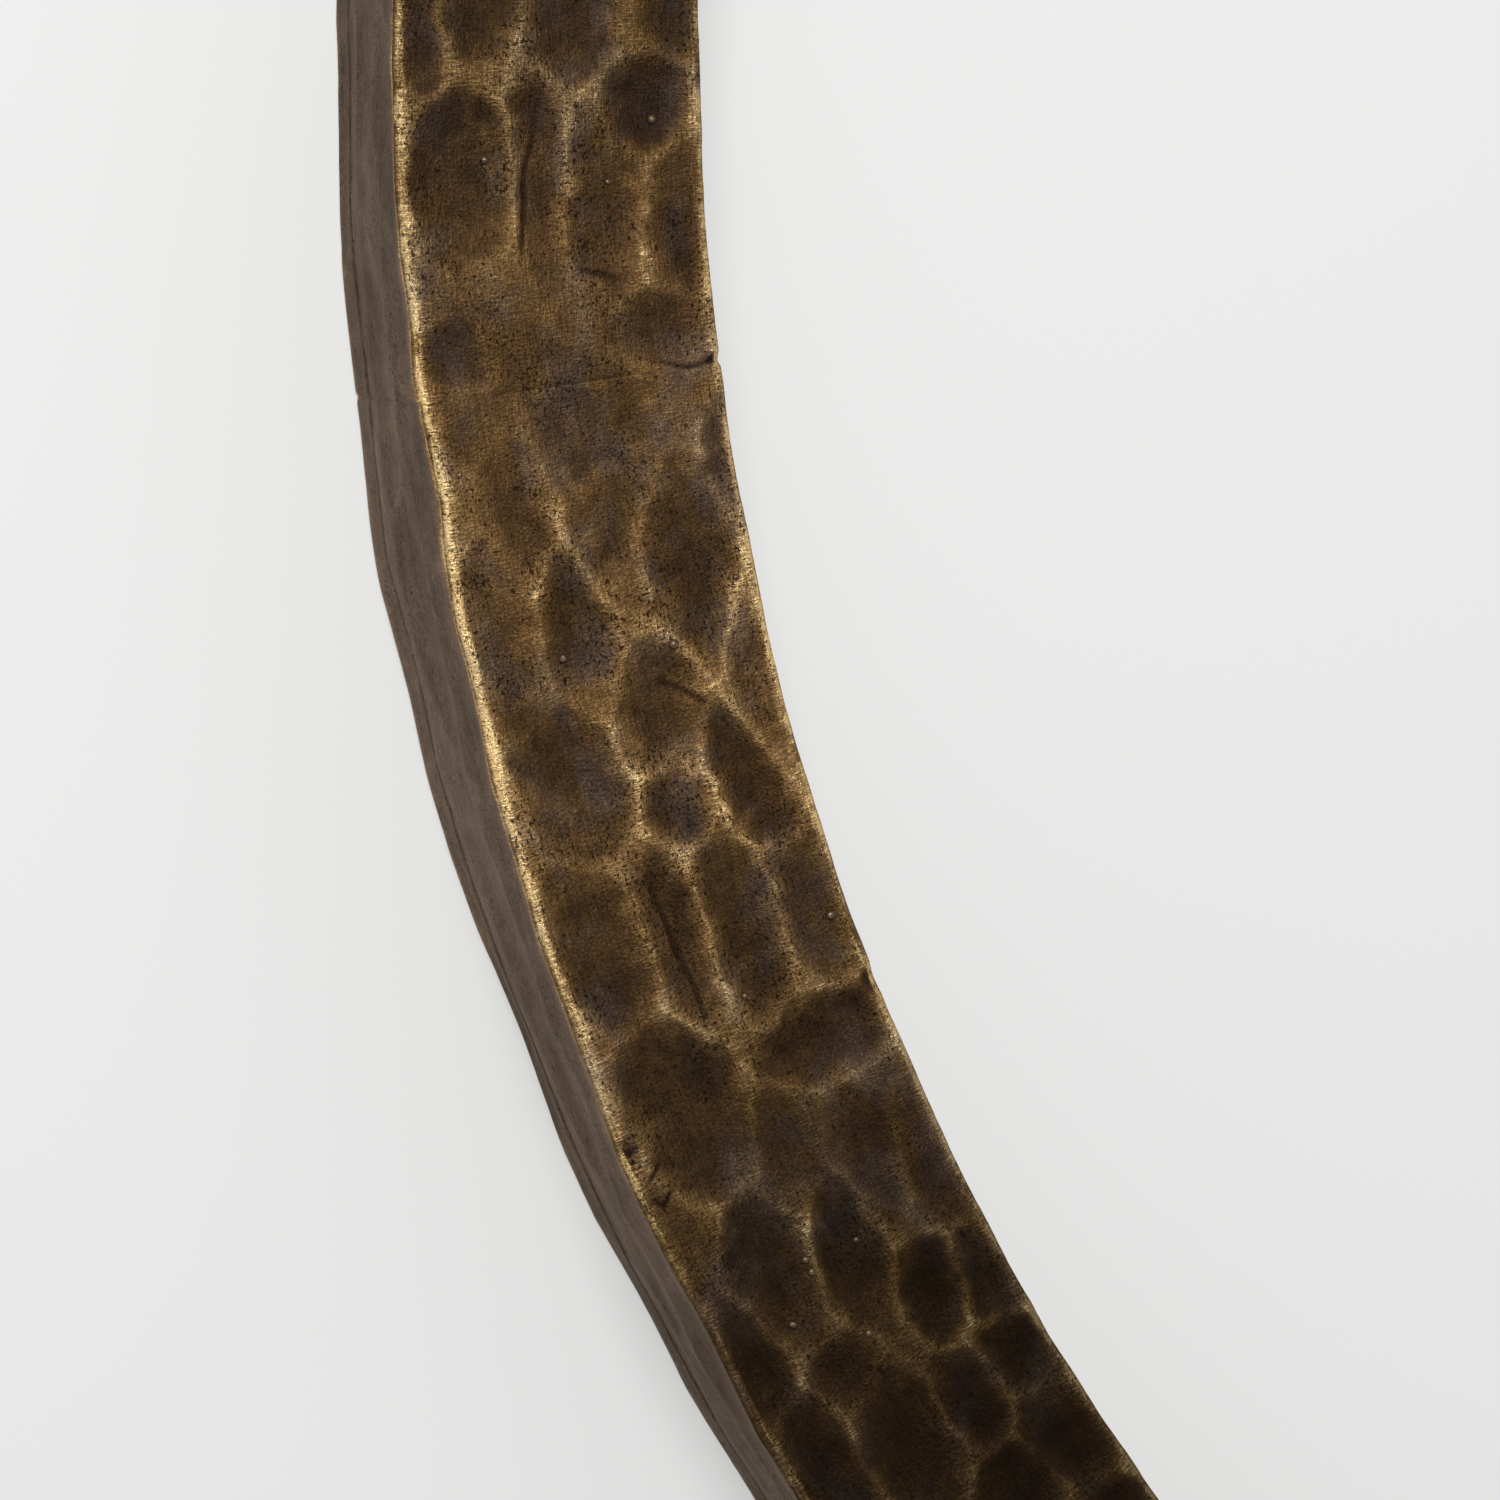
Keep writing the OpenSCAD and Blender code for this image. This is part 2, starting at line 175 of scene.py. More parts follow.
# Gouges on the front face from turn 7 to 42: turn in degrees, across, length, width, depth, lean
# in degrees and how pointed the far end is, from -1 (the end towards the neck) to 1 (the bell).
FACE_GOUGES = [
    (40.9, 16.0, 13, 6, 0.6, 0, 0.0), (41.6, 8.0, 13, 11, 1.0, 0, 0.0),
    (41.2, -3.0, 16, 11, 1.0, 0, 0.0), (39.2, -12.5, 11, 11, 1.2, 20, 0.0),
    (41.4, -17.0, 13, 9, 0.7, 0, 0.0), (38.1, 11.5, 19, 12, 1.0, -6, 0.2),
    (38.1, 1.5, 24, 7, 0.6, 3, 0.0), (37.3, -7.0, 23, 11, 0.8, -4, -0.5),
    (36.8, -16.5, 19, 10, 0.8, 0, -0.3), (34.4, 14.5, 8, 7, 0.4, 0, 0.0),
    (34.5, -12.0, 8, 10, 0.4, 0, 0.0), (31.0, 8.5, 17, 9, 0.5, 0, 0.0),
    (31.2, -2.5, 26, 13, 0.6, 5, -0.6), (28.3, 4.5, 20, 9.5, 0.9, 0, 0.6),
    (29.1, -11.5, 25, 11, 1.1, -4, -0.6), (31.2, -18.5, 16, 6, 0.7, 0, 0.0),
    (28.5, 13.5, 24, 9, 0.6, 0, 0.2), (26.3, -4.0, 16, 11, 0.9, 0, 0.4),
    (25.4, 9.8, 23, 13, 1.2, 8, 0.0), (24.2, -2.5, 9, 8, 0.7, 0, 0.0),
    (24.3, -12.5, 20, 8, 1.2, 16, 0.0), (25.9, -18.0, 20, 9, 0.5, 0, 0.0),
    (24.7, 18.0, 13, 4, 0.4, 0, 0.0), (22.0, 12.0, 24, 12, 1.0, 3, 0.0),
    (21.5, 3.0, 24, 8, 0.8, 3, 0.0), (21.3, -6.0, 24, 9, 0.9, 0, -0.2),
    (21.2, -15.5, 20, 10, 0.8, 0, -0.3), (18.2, -11.0, 10, 17, 1.1, 0, 0.0),
    (18.0, 8.8, 22, 14, 1.5, 10, 0.0), (16.3, 0.0, 14, 10, 0.8, 0, 0.2),
    (15.6, -9.6, 19, 11, 0.9, 0, -0.5), (14.6, -17.0, 20, 8, 0.6, 0, 0.0),
    (14.0, 7.5, 23, 10, 1.0, -4, 0.3), (13.6, -2.0, 21, 9, 1.2, -4, 0.4),
    (11.9, -9.5, 13, 9, 1.3, -8, -0.2), (11.6, -16.5, 14, 8, 0.9, 0, 0.0),
    (9.6, -15.5, 12, 10, 1.0, 0, 0.0), (12.5, 14.6, 16, 8, 1.0, 0, 0.0),
    (11.4, 5.5, 10, 9, 0.7, 0, 0.0), (9.4, 3.0, 18, 11, 0.9, 0, 0.0),
    (9.3, -6.5, 13, 9, 0.8, 0, 0.0), (7.6, -14.5, 16, 10, 0.9, 0, 0.0),
    (7.0, -6.0, 13, 10, 0.9, 0, 0.0), (10.0, 13.0, 17, 9, 0.9, 0, 0.0),
    (17.6, 19.4, 3.0, 6, 0.4, 60, 0.0), (18.8, -19.6, 5, 5, 0.9, 0, 0.0),
    (33.7, -19.8, 1.6, 4, 0.8, 0, 0.0),
]
# Cracks and cold shuts on the front face: lines through (turn in degrees, across).
CRACKS = [
    [(39.5, 1.0), (38.6, 2.2), (37.8, 3.6), (36.9, 3.9), (36.1, 4.6)],
    [(23.0, 3.8), (21.9, 3.2), (20.8, 3.0), (19.7, 2.4)],
    [(26.9, -4.5), (26.6, -7.0), (26.2, -9.5)],
    [(33.6, -20.0), (33.5, -15.5), (33.7, -12.0)],
    [(17.95, 19.8), (17.75, 18.6), (17.8, 17.3)],
    [(17.05, 17.6), (17.15, 16.2), (17.3, 14.9)],
    [(16.7, 18.0), (16.45, 17.0), (16.7, 15.0)],
    [(35.9, -3.0), (35.6, -7.5)],
]
# How far the outer side stands out at its foot, and how far its arris is worn in: (turn in degrees,
# millimetres).
BELLY = [(8, 0.0), (14, 0.3), (20, 0.9), (24, 1.5), (30, 1.4), (34, 0.7), (41, 0.7), (48, 0.0)]
ARRIS_WEAR = [(12, 0.0), (15, 0.5), (17.6, 0.2), (19, 0.5), (20, 0.0), (29, 0.2), (30.2, 1.0), (31.5, 1.8),
              (32.7, 1.2), (34.0, 0.5), (35.2, 0.8), (36.5, 0.2), (38.0, 0.0), (39.8, 0.3), (42, 0.0)]
# How brightly the outer arris is rubbed, with a painted highlight on top of the wear: (turn in degrees,
# share of the full brightness).
ARRIS_RUB_AND_HIGHLIGHT = [(6, 0.42), (16, 0.48), (17.3, 0.85), (18.6, 0.60), (21, 0.85), (24, 1.0)]
# The turns between which the face's gouges are the listed ones, in degrees.
LISTED_FROM = 6.4
LISTED_TO = 42.4


def scattered(from_l, to_l, half_of, base_w, long, deep, seed, skip=None):
    """Seeded gouges in staggered lanes: (along, across, length, width, depth, lean, point)."""
    rng = np.random.default_rng(seed)
    gouges = []
    along = from_l - long / 2
    while along < to_l + long / 2:
        half = float(half_of(along))
        lanes = max(2, round(2 * half / base_w))
        lane_w = 2 * half / lanes
        scale = lane_w / base_w
        for lane in range(lanes):
            place = along + (lane % 2) * long * scale / 2 + rng.uniform(-0.22, 0.22) * long
            across = -half + (lane + 0.5) * lane_w + rng.uniform(-0.18, 0.18) * lane_w
            gouge = (place, across, long * scale * rng.uniform(0.95, 1.5),
                     lane_w * rng.uniform(0.95, 1.3), deep * scale * rng.uniform(0.6, 1.3),
                     rng.uniform(-12, 12), rng.uniform(-0.6, 0.6))
            if skip is None or not skip[0] < place < skip[1]:
                gouges.append(gouge)
        along += long * scale * 0.84
    return gouges


OVERLAP = 0.68  # below 1, a gouge reaches past its stated size and meets its neighbours
UNCUT = -0.10  # level of the surface between gouges, in millimetres


def gouge_field(a, b, gouges, soft):
    """Depth cut below the uncut surface, and how far each point is from a ridge, in millimetres."""
    best = np.full(a.shape, UNCUT)
    second = np.full(a.shape, UNCUT)
    total = np.exp(best / soft)
    for place, across, length, width, deep, lean, point in gouges:
        near = np.abs(a[:, 0] - place) < length + 0.4 * width
        if not near.any():
            continue
        da = a[near] - place
        db = b[near] - across
        c, s = math.cos(math.radians(lean)), math.sin(math.radians(lean))
        u = (da * c + db * s) / (length / 2)
        v = (db * c - da * s) / (width / 2)
        v = v / np.clip(1 - 0.55 * point * u, 0.35, 1.6)
        cut = deep * (1 - OVERLAP * (u * u + v * v))
        total[near] += np.exp(np.clip(cut, -3, 3) / soft)
        was = best[near]
        best[near] = np.maximum(was, cut)
        second[near] = np.maximum(second[near], np.minimum(was, cut))
    return np.log(total) * soft, best - second


def half_at(along):
    """Half the width of the horn at one place."""
    return section([along])["half"][0]


def face_gouges():
    """The listed gouges of the front face, and scattered ones beyond them."""
    listed = [(arc_length(turn), *rest) for turn, *rest in FACE_GOUGES]
    skip = (arc_length(LISTED_FROM), arc_length(LISTED_TO))
    return listed + scattered(-NECK_L, ARC_L + BELL_L, half_at, 10, 17, 0.85, 11, skip)


def side_gouges(seed):
    """Long shallow facets on a side: across is the height above the middle of the side."""
    def reach(along):
        sec = section([along])
        return (sec["top"] - sec["base"])[0] / 2
    return scattered(-NECK_L, ARC_L + BELL_L, reach, 10, 26, 0.85, seed)


GOUGES = {"face": face_gouges(), "outer": side_gouges(21), "inner": side_gouges(22),
          "floor": scattered(-NECK_L, ARC_L + BELL_L, half_at, 13, 26, 0.35, 23)}


def crack_field(a, b, width):
    """From 0 to 1 on the cracks, fading towards their ends."""
    wob = 0.35 * rough(a, b, 3, 81)
    field = np.zeros(a.shape)
    for line in CRACKS:
        ends = [np.array([arc_length(turn), across]) for turn, across in line]
        count = len(ends) - 1
        for i in range(count):
            along_line = ends[i + 1] - ends[i]
            da = a - ends[i][0]
            db = b + wob - ends[i][1]
            k = np.clip((da * along_line[0] + db * along_line[1]) / (along_line @ along_line), 0, 1)
            off = np.hypot(da - k * along_line[0], db - k * along_line[1])
            fade = 0.4 + 0.6 * np.sin(math.pi * np.clip((i + k) / count, 0.02, 0.98))
            field = np.maximum(field, fade * np.exp(-(off / width) ** 2))
    return field


def soft_floor(cut, low, high):
    """Keeps a relief between two levels, with a soft landing on the lower one."""
    return np.minimum(low + np.log1p(np.exp((cut - low) / 0.06)) * 0.06, high)


def face_cut(a, b):
    """Depth of the front face's relief."""
    wob_a = 1.6 * rough(a, b, 10, 31) + 0.8 * rough(a, b, 3.5, 33)
    wob_b = 1.1 * rough(a, b, 8, 35) + 0.6 * rough(a, b, 3, 37)
    cut, _ = gouge_field(a + wob_a, b + wob_b, GOUGES["face"], 0.06)
    cut = 1.15 * cut + 0.12 + 0.08 * rough(a, b, 2.0, 41) + 0.18 * rough(a, b, 8, 43)
    cut = cut + 0.20 * crack_field(a, b, 0.26)
    return soft_floor(cut, 0.02, 1.7)


def blurred(field, sigma_rows, sigma_columns):
    """A Gaussian blur whose edges repeat the last value."""
    for axis, sigma in ((0, sigma_rows), (1, sigma_columns)):
        reach = int(math.ceil(3 * sigma))
        kernel = np.exp(-0.5 * (np.arange(-reach, reach + 1) / sigma) ** 2)
        kernel /= kernel.sum()
        pads = [(0, 0), (0, 0)]
        pads[axis] = (reach, reach)
        wide = np.pad(field, pads, mode="edge")
        n = field.shape[axis]
        field = sum(k * np.take(wide, np.arange(i, i + n), axis) for i, k in enumerate(kernel))
    return field


def side_cut(a, z, sec, which):
    """Depth of a side's relief, and the ridge distance."""
    middle = (sec["top"] + sec["base"])[:, None] / 2
    b = z - middle
    cut, gap = gouge_field(a + 1.2 * rough(a, b, 9, 51), b, GOUGES[which], 0.06)
    cut = cut + 0.15 + 0.06 * rough(a, b, 3, 53) + 0.45 * value_noise(a, 0 * b, 20, 1, 57)
    cut = cut + 0.20 * value_noise(a, b, 26, 3.2, 59)
    cut = soft_floor(cut, 0.02, 1.4)
    if which == "inner":
        return 0.2 * cut, gap
    share = (z - sec["base"][:, None]) / (sec["top"] - sec["base"])[:, None]
    return cut - at_turn(BELLY, a) * (1 - share) + at_turn(ARRIS_WEAR, a) * share ** 5, gap


# ---------------------------------------------------------------- meshes
def add_object(name, data):
    """A new object in the scene."""
    obj = bpy.data.objects.new(name, data)
    bpy.context.scene.collection.objects.link(obj)
    return obj


def new_mesh_object(name, points, faces, material, smooth_deg=48):
    """A smooth-shaded mesh in metres, with sharp edges above an angle."""
    mesh = bpy.data.meshes.new(name)
    mesh.from_pydata(points.tolist(), [], faces)
    mesh.validate()
    mesh.polygons.foreach_set("use_smooth", [True] * len(mesh.polygons))
    mesh.set_sharp_from_angle(angle=math.radians(smooth_deg))
    mesh.materials.append(material)
    return add_object(name, mesh)


# Painted shade along the horn: how light the bronze is at each place, darker towards the neck end as if
# lit from the bell's end: (turn in degrees at the arc's radius, lightness).
PAINTED_SHADE_ALONG = [(-22, 0.62), (0, 0.40), (7, 0.24), (11, 0.36), (17, 0.68), (24, 1.04), (33, 1.00),
          (40, 0.70), (50, 0.85), (84, 1.0)]


def put_attributes(obj, floats, grain):
    """Named numbers per point, and grain, the place of each point on the horn in millimetres."""
    mesh = obj.data
    # Painted shade: a lightness along the horn that darkens each point's colour.
    floats.setdefault("painted_shade", at_turn(PAINTED_SHADE_ALONG, grain[..., 0]))
    for name, values in floats.items():
        layer = mesh.attributes.new(name, "FLOAT", "POINT")
        layer.data.foreach_set("value", np.ascontiguousarray(values, np.float32).ravel())
    layer = mesh.attributes.new("grain", "FLOAT_VECTOR", "POINT")
    layer.data.foreach_set("vector", np.ascontiguousarray(grain, np.float32).ravel())


def ring_faces(rings, n, ends="capped"):
    """Quads round a stack of rings of n points, wound outwards, with capped, joined or open ends."""
    j, i = np.meshgrid(np.arange(rings - 1), np.arange(n), indexing="ij")
    nxt = (i + 1) % n
    quads = np.stack([j * n + i, j * n + nxt, (j + 1) * n + nxt, (j + 1) * n + i], -1)
    faces = quads.reshape(-1, 4).tolist()
    last = (rings - 1) * n
    if ends == "capped":
        faces.append(list(range(n))[::-1])
        faces.append([last + k for k in range(n)])
    if ends == "joined":
        faces += [[last + k, last + (k + 1) % n, (k + 1) % n, k] for k in range(n)]
    return faces


def corner_rows(x, z, cx, cz, bulge, steps):
    """Rows round a corner from (x, cz) to (cx, z): a chord bulged towards an arc."""
    k = np.linspace(0, 1, steps + 2)[1:-1]
    arc_x = cx[:, None] + (x - cx)[:, None] * np.cos(k * math.pi / 2)
    arc_z = cz[:, None] + (z - cz)[:, None] * np.sin(k * math.pi / 2)
    line_x = mix(x[:, None], cx[:, None], k)
    line_z = mix(cz[:, None], z[:, None], k)
    return mix(line_x, arc_x, bulge[:, None]), mix(line_z, arc_z, bulge[:, None])


FACE_ROWS = 104  # rows of points across the face, up a side and round an arris
SIDE_ROWS = 30
CORNER_ROWS = 5
FLOOR_ROWS = 44
BACK_SIDE_ROWS = 12
SEAM_BEVEL = 0.22  # how far the castings' edges are broken at the seam, in millimetres


def join_groove(along, from_l, to_l):
    """How far the ends of a casting are dressed back where they meet the next, in millimetres."""
    edge = np.minimum(along - from_l, to_l - along)
    return 0.22 * np.exp(-(edge / 0.35) ** 2)


def stations(from_l, to_l, step):
    """Places along the horn, about a step apart."""
    return np.linspace(from_l, to_l, int(math.ceil((to_l - from_l) / step)) + 1)


def casting(name, along, sec, across, height, rub, flank):
    """A piece swept along the horn, from the rows round its section."""
    points = stand(sec, across, height)
    obj = new_mesh_object(name, points.reshape(-1, 3), ring_faces(*across.shape), BRONZE)
    grain = np.stack([np.broadcast_to(along[:, None], across.shape), across, height], -1)
    put_attributes(obj, {"rub": rub, "flank": flank}, grain)
    return obj


def side_rub(gap, level, bright, rows_from_edge, fade):
    """How brightly a side is rubbed: a little on its ridges, and more towards its edge."""
    edge = np.exp(-rows_from_edge / fade)
    return np.clip(level + 0.07 * np.exp(-(gap / 0.10) ** 2) + bright * edge, 0, 1.3)


def arris_rub_and_highlight(column, swell):
    """How brightly the rows round an arris are rubbed, with a painted highlight on the crest, from the
    side to the face.
    """
    crest = np.array([0.60, 0.78, 1.00, 1.12, 0.98])
    flat = np.array([0.60, 0.46, 0.42, 0.46, 0.60])
    corner = mix(crest, flat, np.clip(3 * swell, 0, 1)[:, None])
    return corner * (1 + 0.4 * rough(column, 0 * column, 4, 73))


def face_rub(column, face_x, k, cut, cell, step, edge_rub_and_highlight):
    """How brightly the front face is rubbed: bright ridges, edges worn bright with a painted highlight,
    dark hollows and cracks.
    """
    soft_cut = blurred(cut, 0.5 / step, 0.5 * cell)
    wide_lift = blurred(cut, 3.4 / step, 3.4 * cell) - soft_cut
    fine_lift = blurred(cut, 1.0 / step, 1.0 * cell) - cut
    gain = 1 + 0.55 * rough(column + 0 * face_x, face_x, 14, 71)
    rub = 0.41 + gain * (0.54 * wide_lift + 1.02 * fine_lift)
    rub = rub - 0.55 * crack_field(column + 0 * face_x, face_x, 0.24)
    # The bands along the arrises are wear with a painted highlight.
    near_edge = np.exp(-np.minimum(k, 1 - k) * FACE_ROWS / 2.2)
    edge = np.where(k < 0.5, 0.42 * edge_rub_and_highlight, 0.25) * near_edge
    return np.clip(rub + edge * (1 + 0.5 * rough(column, 0 * column, 7, 75)), 0, 1.3)


def front_side(column, sec, wide, high, which):
    """Rows up a front casting's side, from the seam to the arris, and their ridge distances."""
    z = mix(sec["seam"][:, None], high[:, None], np.linspace(0, 1, SIDE_ROWS))
    cut, gap = side_cut(column + 0 * z, z, sec, which)
    x = wide[:, None] - cut
    x[:, 0] -= SEAM_BEVEL
    return x, z, gap


def front_hollow(sec, ceiling):
    """The hollow inside a front casting, from the seam on the inner side to the outer one."""
    wall = sec["half"] - WALL
    c = np.maximum(0.6, sec["front_c"] - 2)
    seam = sec["seam"]
    x = np.stack([-wall, -wall, c - wall, wall - c, wall, wall], -1)
    z = np.stack([seam, ceiling - c, ceiling, ceiling, ceiling - c, seam], -1)
    return x, z


def front_casting(name, from_l, to_l, step):
    """The gouged face with the sides down to the seam, and the hollow inside."""
    along = stations(from_l, to_l, step)
    sec = section(along)
    column = along[:, None]
    c = sec["front_c"]
    groove = join_groove(along, from_l, to_l)
    top = sec["top"] - 0.4 * groove
    wide = sec["half"] - groove

    edge_x = np.stack([c - sec["half"], sec["half"] - c], -1)
    nick = 0.24 * np.abs(rough(column, 0 * column, 2.6, 61))
    in_top, out_top = (top[:, None] - face_cut(column + 0 * edge_x, edge_x) - nick).T
    out_x, out_z, out_gap = front_side(column, sec, wide, out_top - c, "outer")
    in_x, in_z, in_gap = front_side(column, sec, wide, in_top - c, "inner")

    k = np.linspace(0, 1, FACE_ROWS)
    face_x = mix((out_x[:, -1] - c)[:, None], -(in_x[:, -1] - c)[:, None], k)
    cut = face_cut(column + 0 * face_x, face_x)
    blend = ease(np.minimum(k, 1 - k) * FACE_ROWS / 3)
    edge_level = mix(out_top[:, None], in_top[:, None], np.round(k))
    face_z = mix(edge_level, top[:, None] - cut, blend)
    bulge = np.clip(1.1 - 0.8 * sec["swell"], 0.35, 1)
    out_cx, out_cz = corner_rows(out_x[:, -1], face_z[:, 0], face_x[:, 0], out_z[:, -1],
                                 bulge, CORNER_ROWS)
    in_cx, in_cz = corner_rows(in_x[:, -1], face_z[:, -1], -face_x[:, -1], in_z[:, -1],
                               bulge, CORNER_ROWS)
    cav_x, cav_z = front_hollow(sec, top - WALL)
    across = np.concatenate([out_x, out_cx, face_x, -in_cx[:, ::-1], -in_x[:, ::-1], cav_x], 1)
    height = np.concatenate([out_z, out_cz, face_z, in_cz[:, ::-1], in_z[:, ::-1], cav_z], 1)

    edge_rub_and_highlight = at_turn(ARRIS_RUB_AND_HIGHLIGHT, column)
    corner = arris_rub_and_highlight(column, sec["swell"])
    cell = FACE_ROWS / (2 * sec["half"].mean())
    down = np.arange(SIDE_ROWS)[::-1]
    # The outer side and arris are worn bright with a painted highlight.
    rub = np.concatenate([side_rub(out_gap, 0.38, 0.5 * edge_rub_and_highlight, down, 1.1), mix(0.42, corner, edge_rub_and_highlight),
                          face_rub(column, face_x, k, cut, cell, step, edge_rub_and_highlight),
                          # The inner arris is worn bright with a painted reflection of the pale floor.
                          0.85 * corner[:, ::-1],
                          side_rub(in_gap, 0.38, 0.3, down, 1.1)[:, ::-1], np.zeros_like(cav_x)], 1)
    flank_side = np.broadcast_to(ease(down / 2.0), (len(along), SIDE_ROWS))
    flank = np.concatenate([flank_side, 0 * corner, 0 * face_x, 0 * corner,
                            flank_side[:, ::-1], np.ones_like(cav_x)], 1)
    return casting(name, along, sec, across, height, rub, flank)


def back_side(column, sec, wide, which):
    """Rows up a back casting's side, from the floor's chamfer to the seam."""
    k = np.linspace(0, 1, BACK_SIDE_ROWS)
    z = mix((sec["base"] + sec["back_c"])[:, None], sec["seam"][:, None], k)
    cut, gap = side_cut(column + 0 * z, z, sec, which)
    x = wide[:, None] - cut
    x[:, -1] -= SEAM_BEVEL
    return x, z, gap


def back_hollow(sec):
    """The hollow inside a back casting, from the outer seam to the inner one."""
    half, base, c = sec["half"], sec["base"], sec["back_c"]
    seam = sec["seam"] - 0.02
    wall = half - WALL - BACK_LIP
    level = base + WALL
    low_x = half - np.maximum(WALL + BACK_LIP + 0.05, c + 1.0)
    low_z = base + np.maximum(WALL + 0.05, c - 0.4)
    x = np.stack([wall, wall, low_x, -low_x, -wall, -wall], -1)
    z = np.stack([seam, low_z, level, level, low_z, seam], -1)
    return x, z


def back_casting(name, from_l, to_l, step):
    """The flat underside with the foot of each side up to the seam, and the hollow inside."""
    along = stations(from_l, to_l, step)
    sec = section(along)
    column = along[:, None]
    c = sec["back_c"]
    wide = sec["half"] - join_groove(along, from_l, to_l)
    out_x, out_z, out_gap = back_side(column, sec, wide, "outer")
    in_x, in_z, in_gap = back_side(column, sec, wide, "inner")

    k = np.linspace(0, 1, FLOOR_ROWS)
    floor_x = mix(-(in_x[:, 0] - c)[:, None], (out_x[:, 0] - c)[:, None], k)
    cut, floor_gap = gouge_field(column + 0 * floor_x, floor_x, GOUGES["floor"], 0.05)
    flat = ease(np.minimum(k, 1 - k) * FLOOR_ROWS / 5)
    floor_z = sec["base"][:, None] + np.clip(cut - 0.12, 0, 0.3) * flat
    bulge = np.full(len(along), 0.6)
    out_cx, out_cz = corner_rows(floor_x[:, -1], out_z[:, 0], out_x[:, 0], floor_z[:, -1], bulge, 3)
    in_cx, in_cz = corner_rows(-floor_x[:, 0], in_z[:, 0], in_x[:, 0], floor_z[:, 0], bulge, 3)
    cav_x, cav_z = back_hollow(sec)
    across = np.concatenate([-in_x[:, ::-1], -in_cx[:, ::-1], floor_x, out_cx, out_x, cav_x], 1)
    height = np.concatenate([in_z[:, ::-1], in_cz[:, ::-1], floor_z, out_cz, out_z, cav_z], 1)

    up = np.arange(BACK_SIDE_ROWS)
    corner = np.full((len(along), 3), 0.7)
    floor_rub = np.clip(0.50 - cut, 0.2, 0.5) + 0.12 * np.exp(-(floor_gap / 0.1) ** 2)
    rub = np.concatenate([side_rub(in_gap, 0.36, 0.25, up, 1.2)[:, ::-1], corner, floor_rub, corner,
                          side_rub(out_gap, 0.36, 0.25, up, 1.2), np.zeros_like(cav_x)], 1)
    flank = np.concatenate([np.ones_like(in_x), 0.5 + 0 * corner, np.zeros_like(floor_x),
                            0.5 + 0 * corner, np.ones_like(out_x), np.ones_like(cav_x)], 1)
    return casting(name, along, sec, across, height, rub, flank)


# ---------------------------------------------------------------- materials
class Nodes:
    """A material's node tree with short calls for the nodes that the materials below share."""

    def __init__(self, name):
        self.material = bpy.data.materials.new(name)
        self.material.use_nodes = True
        self.tree = self.material.node_tree
        self.tree.nodes.clear()
        output = self.node("OutputMaterial")
        self.shader = self.node("BsdfPrincipled")
        self.link(self.shader.outputs[0], output.inputs[0])

    def node(self, kind):
        return self.tree.nodes.new("ShaderNode" + kind)

    def link(self, source, target):
        self.tree.links.new(source, target)

    def feed(self, target, value):
        if isinstance(value, bpy.types.NodeSocket):
            self.link(value, target)
        else:
            target.default_value = value

    def attribute(self, name, output="Fac"):
        node = self.node("Attribute")
        node.attribute_name = name
        return node.outputs[output]

    def math(self, kind, a, b=0.0, clamp=False):
        node = self.node("Math")
        node.operation = kind
        node.use_clamp = clamp
        self.feed(node.inputs[0], a)
        self.feed(node.inputs[1], b)
        return node.outputs[0]

    def remap(self, value, low, high, to_low=0.0, to_high=1.0):
        node = self.node("MapRange")
        self.feed(node.inputs["Value"], value)
        for socket, number in zip(("From Min", "From Max", "To Min", "To Max"),
                                  (low, high, to_low, to_high)):
            node.inputs[socket].default_value = number
        return node.outputs[0]

    def scaled(self, vector, scale):
        node = self.node("VectorMath")
        node.operation = "MULTIPLY"
        self.link(vector, node.inputs[0])
        node.inputs[1].default_value = scale
        return node.outputs[0]

    def noise(self, vector, scale, detail=3.0, distort=0.0):
        node = self.node("TexNoise")
        self.link(self.scaled(vector, scale), node.inputs["Vector"])
        node.inputs["Scale"].default_value = 1.0
        node.inputs["Detail"].default_value = detail
        node.inputs["Distortion"].default_value = distort
        return node.outputs["Fac"]

    def shaded(self, colour, factor):
        node = self.node("VectorMath")
        node.operation = "SCALE"
        self.link(colour, node.inputs[0])
        self.link(factor, node.inputs["Scale"])
        return node.outputs[0]

    def signed(self, vector, scale, detail, gain, distort=0.0):
        """Noise centred on zero, mostly from -0.5 to 0.5 at a gain of 2 or 3."""
        level = self.math("SUBTRACT", self.noise(vector, scale, detail, distort), 0.5)
        return self.math("MULTIPLY", level, gain)

    def ramp(self, value, stops):
        node = self.node("ValToRGB")
        self.link(value, node.inputs[0])
        ramp = node.color_ramp
        while len(ramp.elements) < len(stops):
            ramp.elements.new(0.5)
        for element, (place, colour) in zip(ramp.elements, stops):
            element.position = place
            element.color = (*colour, 1)
        return node.outputs[0]

    def blend(self, factor, a, b, kind="MIX"):
        node = self.node("Mix")
        node.data_type = "RGBA"
        node.blend_type = kind
        self.feed(node.inputs[0], factor)
        for socket, value in ((node.inputs[6], a), (node.inputs[7], b)):
            self.feed(socket, value if isinstance(value, bpy.types.NodeSocket) else (*value, 1))
        return node.outputs[2]

    def bump(self, height, metres, strength=1.0, normal=None):
        node = self.node("Bump")
        node.inputs["Strength"].default_value = strength
        node.inputs["Distance"].default_value = metres
        self.link(height, node.inputs["Height"])
        if normal is not None:
            self.link(normal, node.inputs["Normal"])
        return node.outputs[0]

    def finish(self, colour, metallic, roughness, normal=None):
        self.feed(self.shader.inputs["Base Color"], colour)
        self.feed(self.shader.inputs["Metallic"], metallic)
        self.feed(self.shader.inputs["Roughness"], roughness)
        if normal is not None:
            self.link(normal, self.shader.inputs["Normal"])
        return self.material


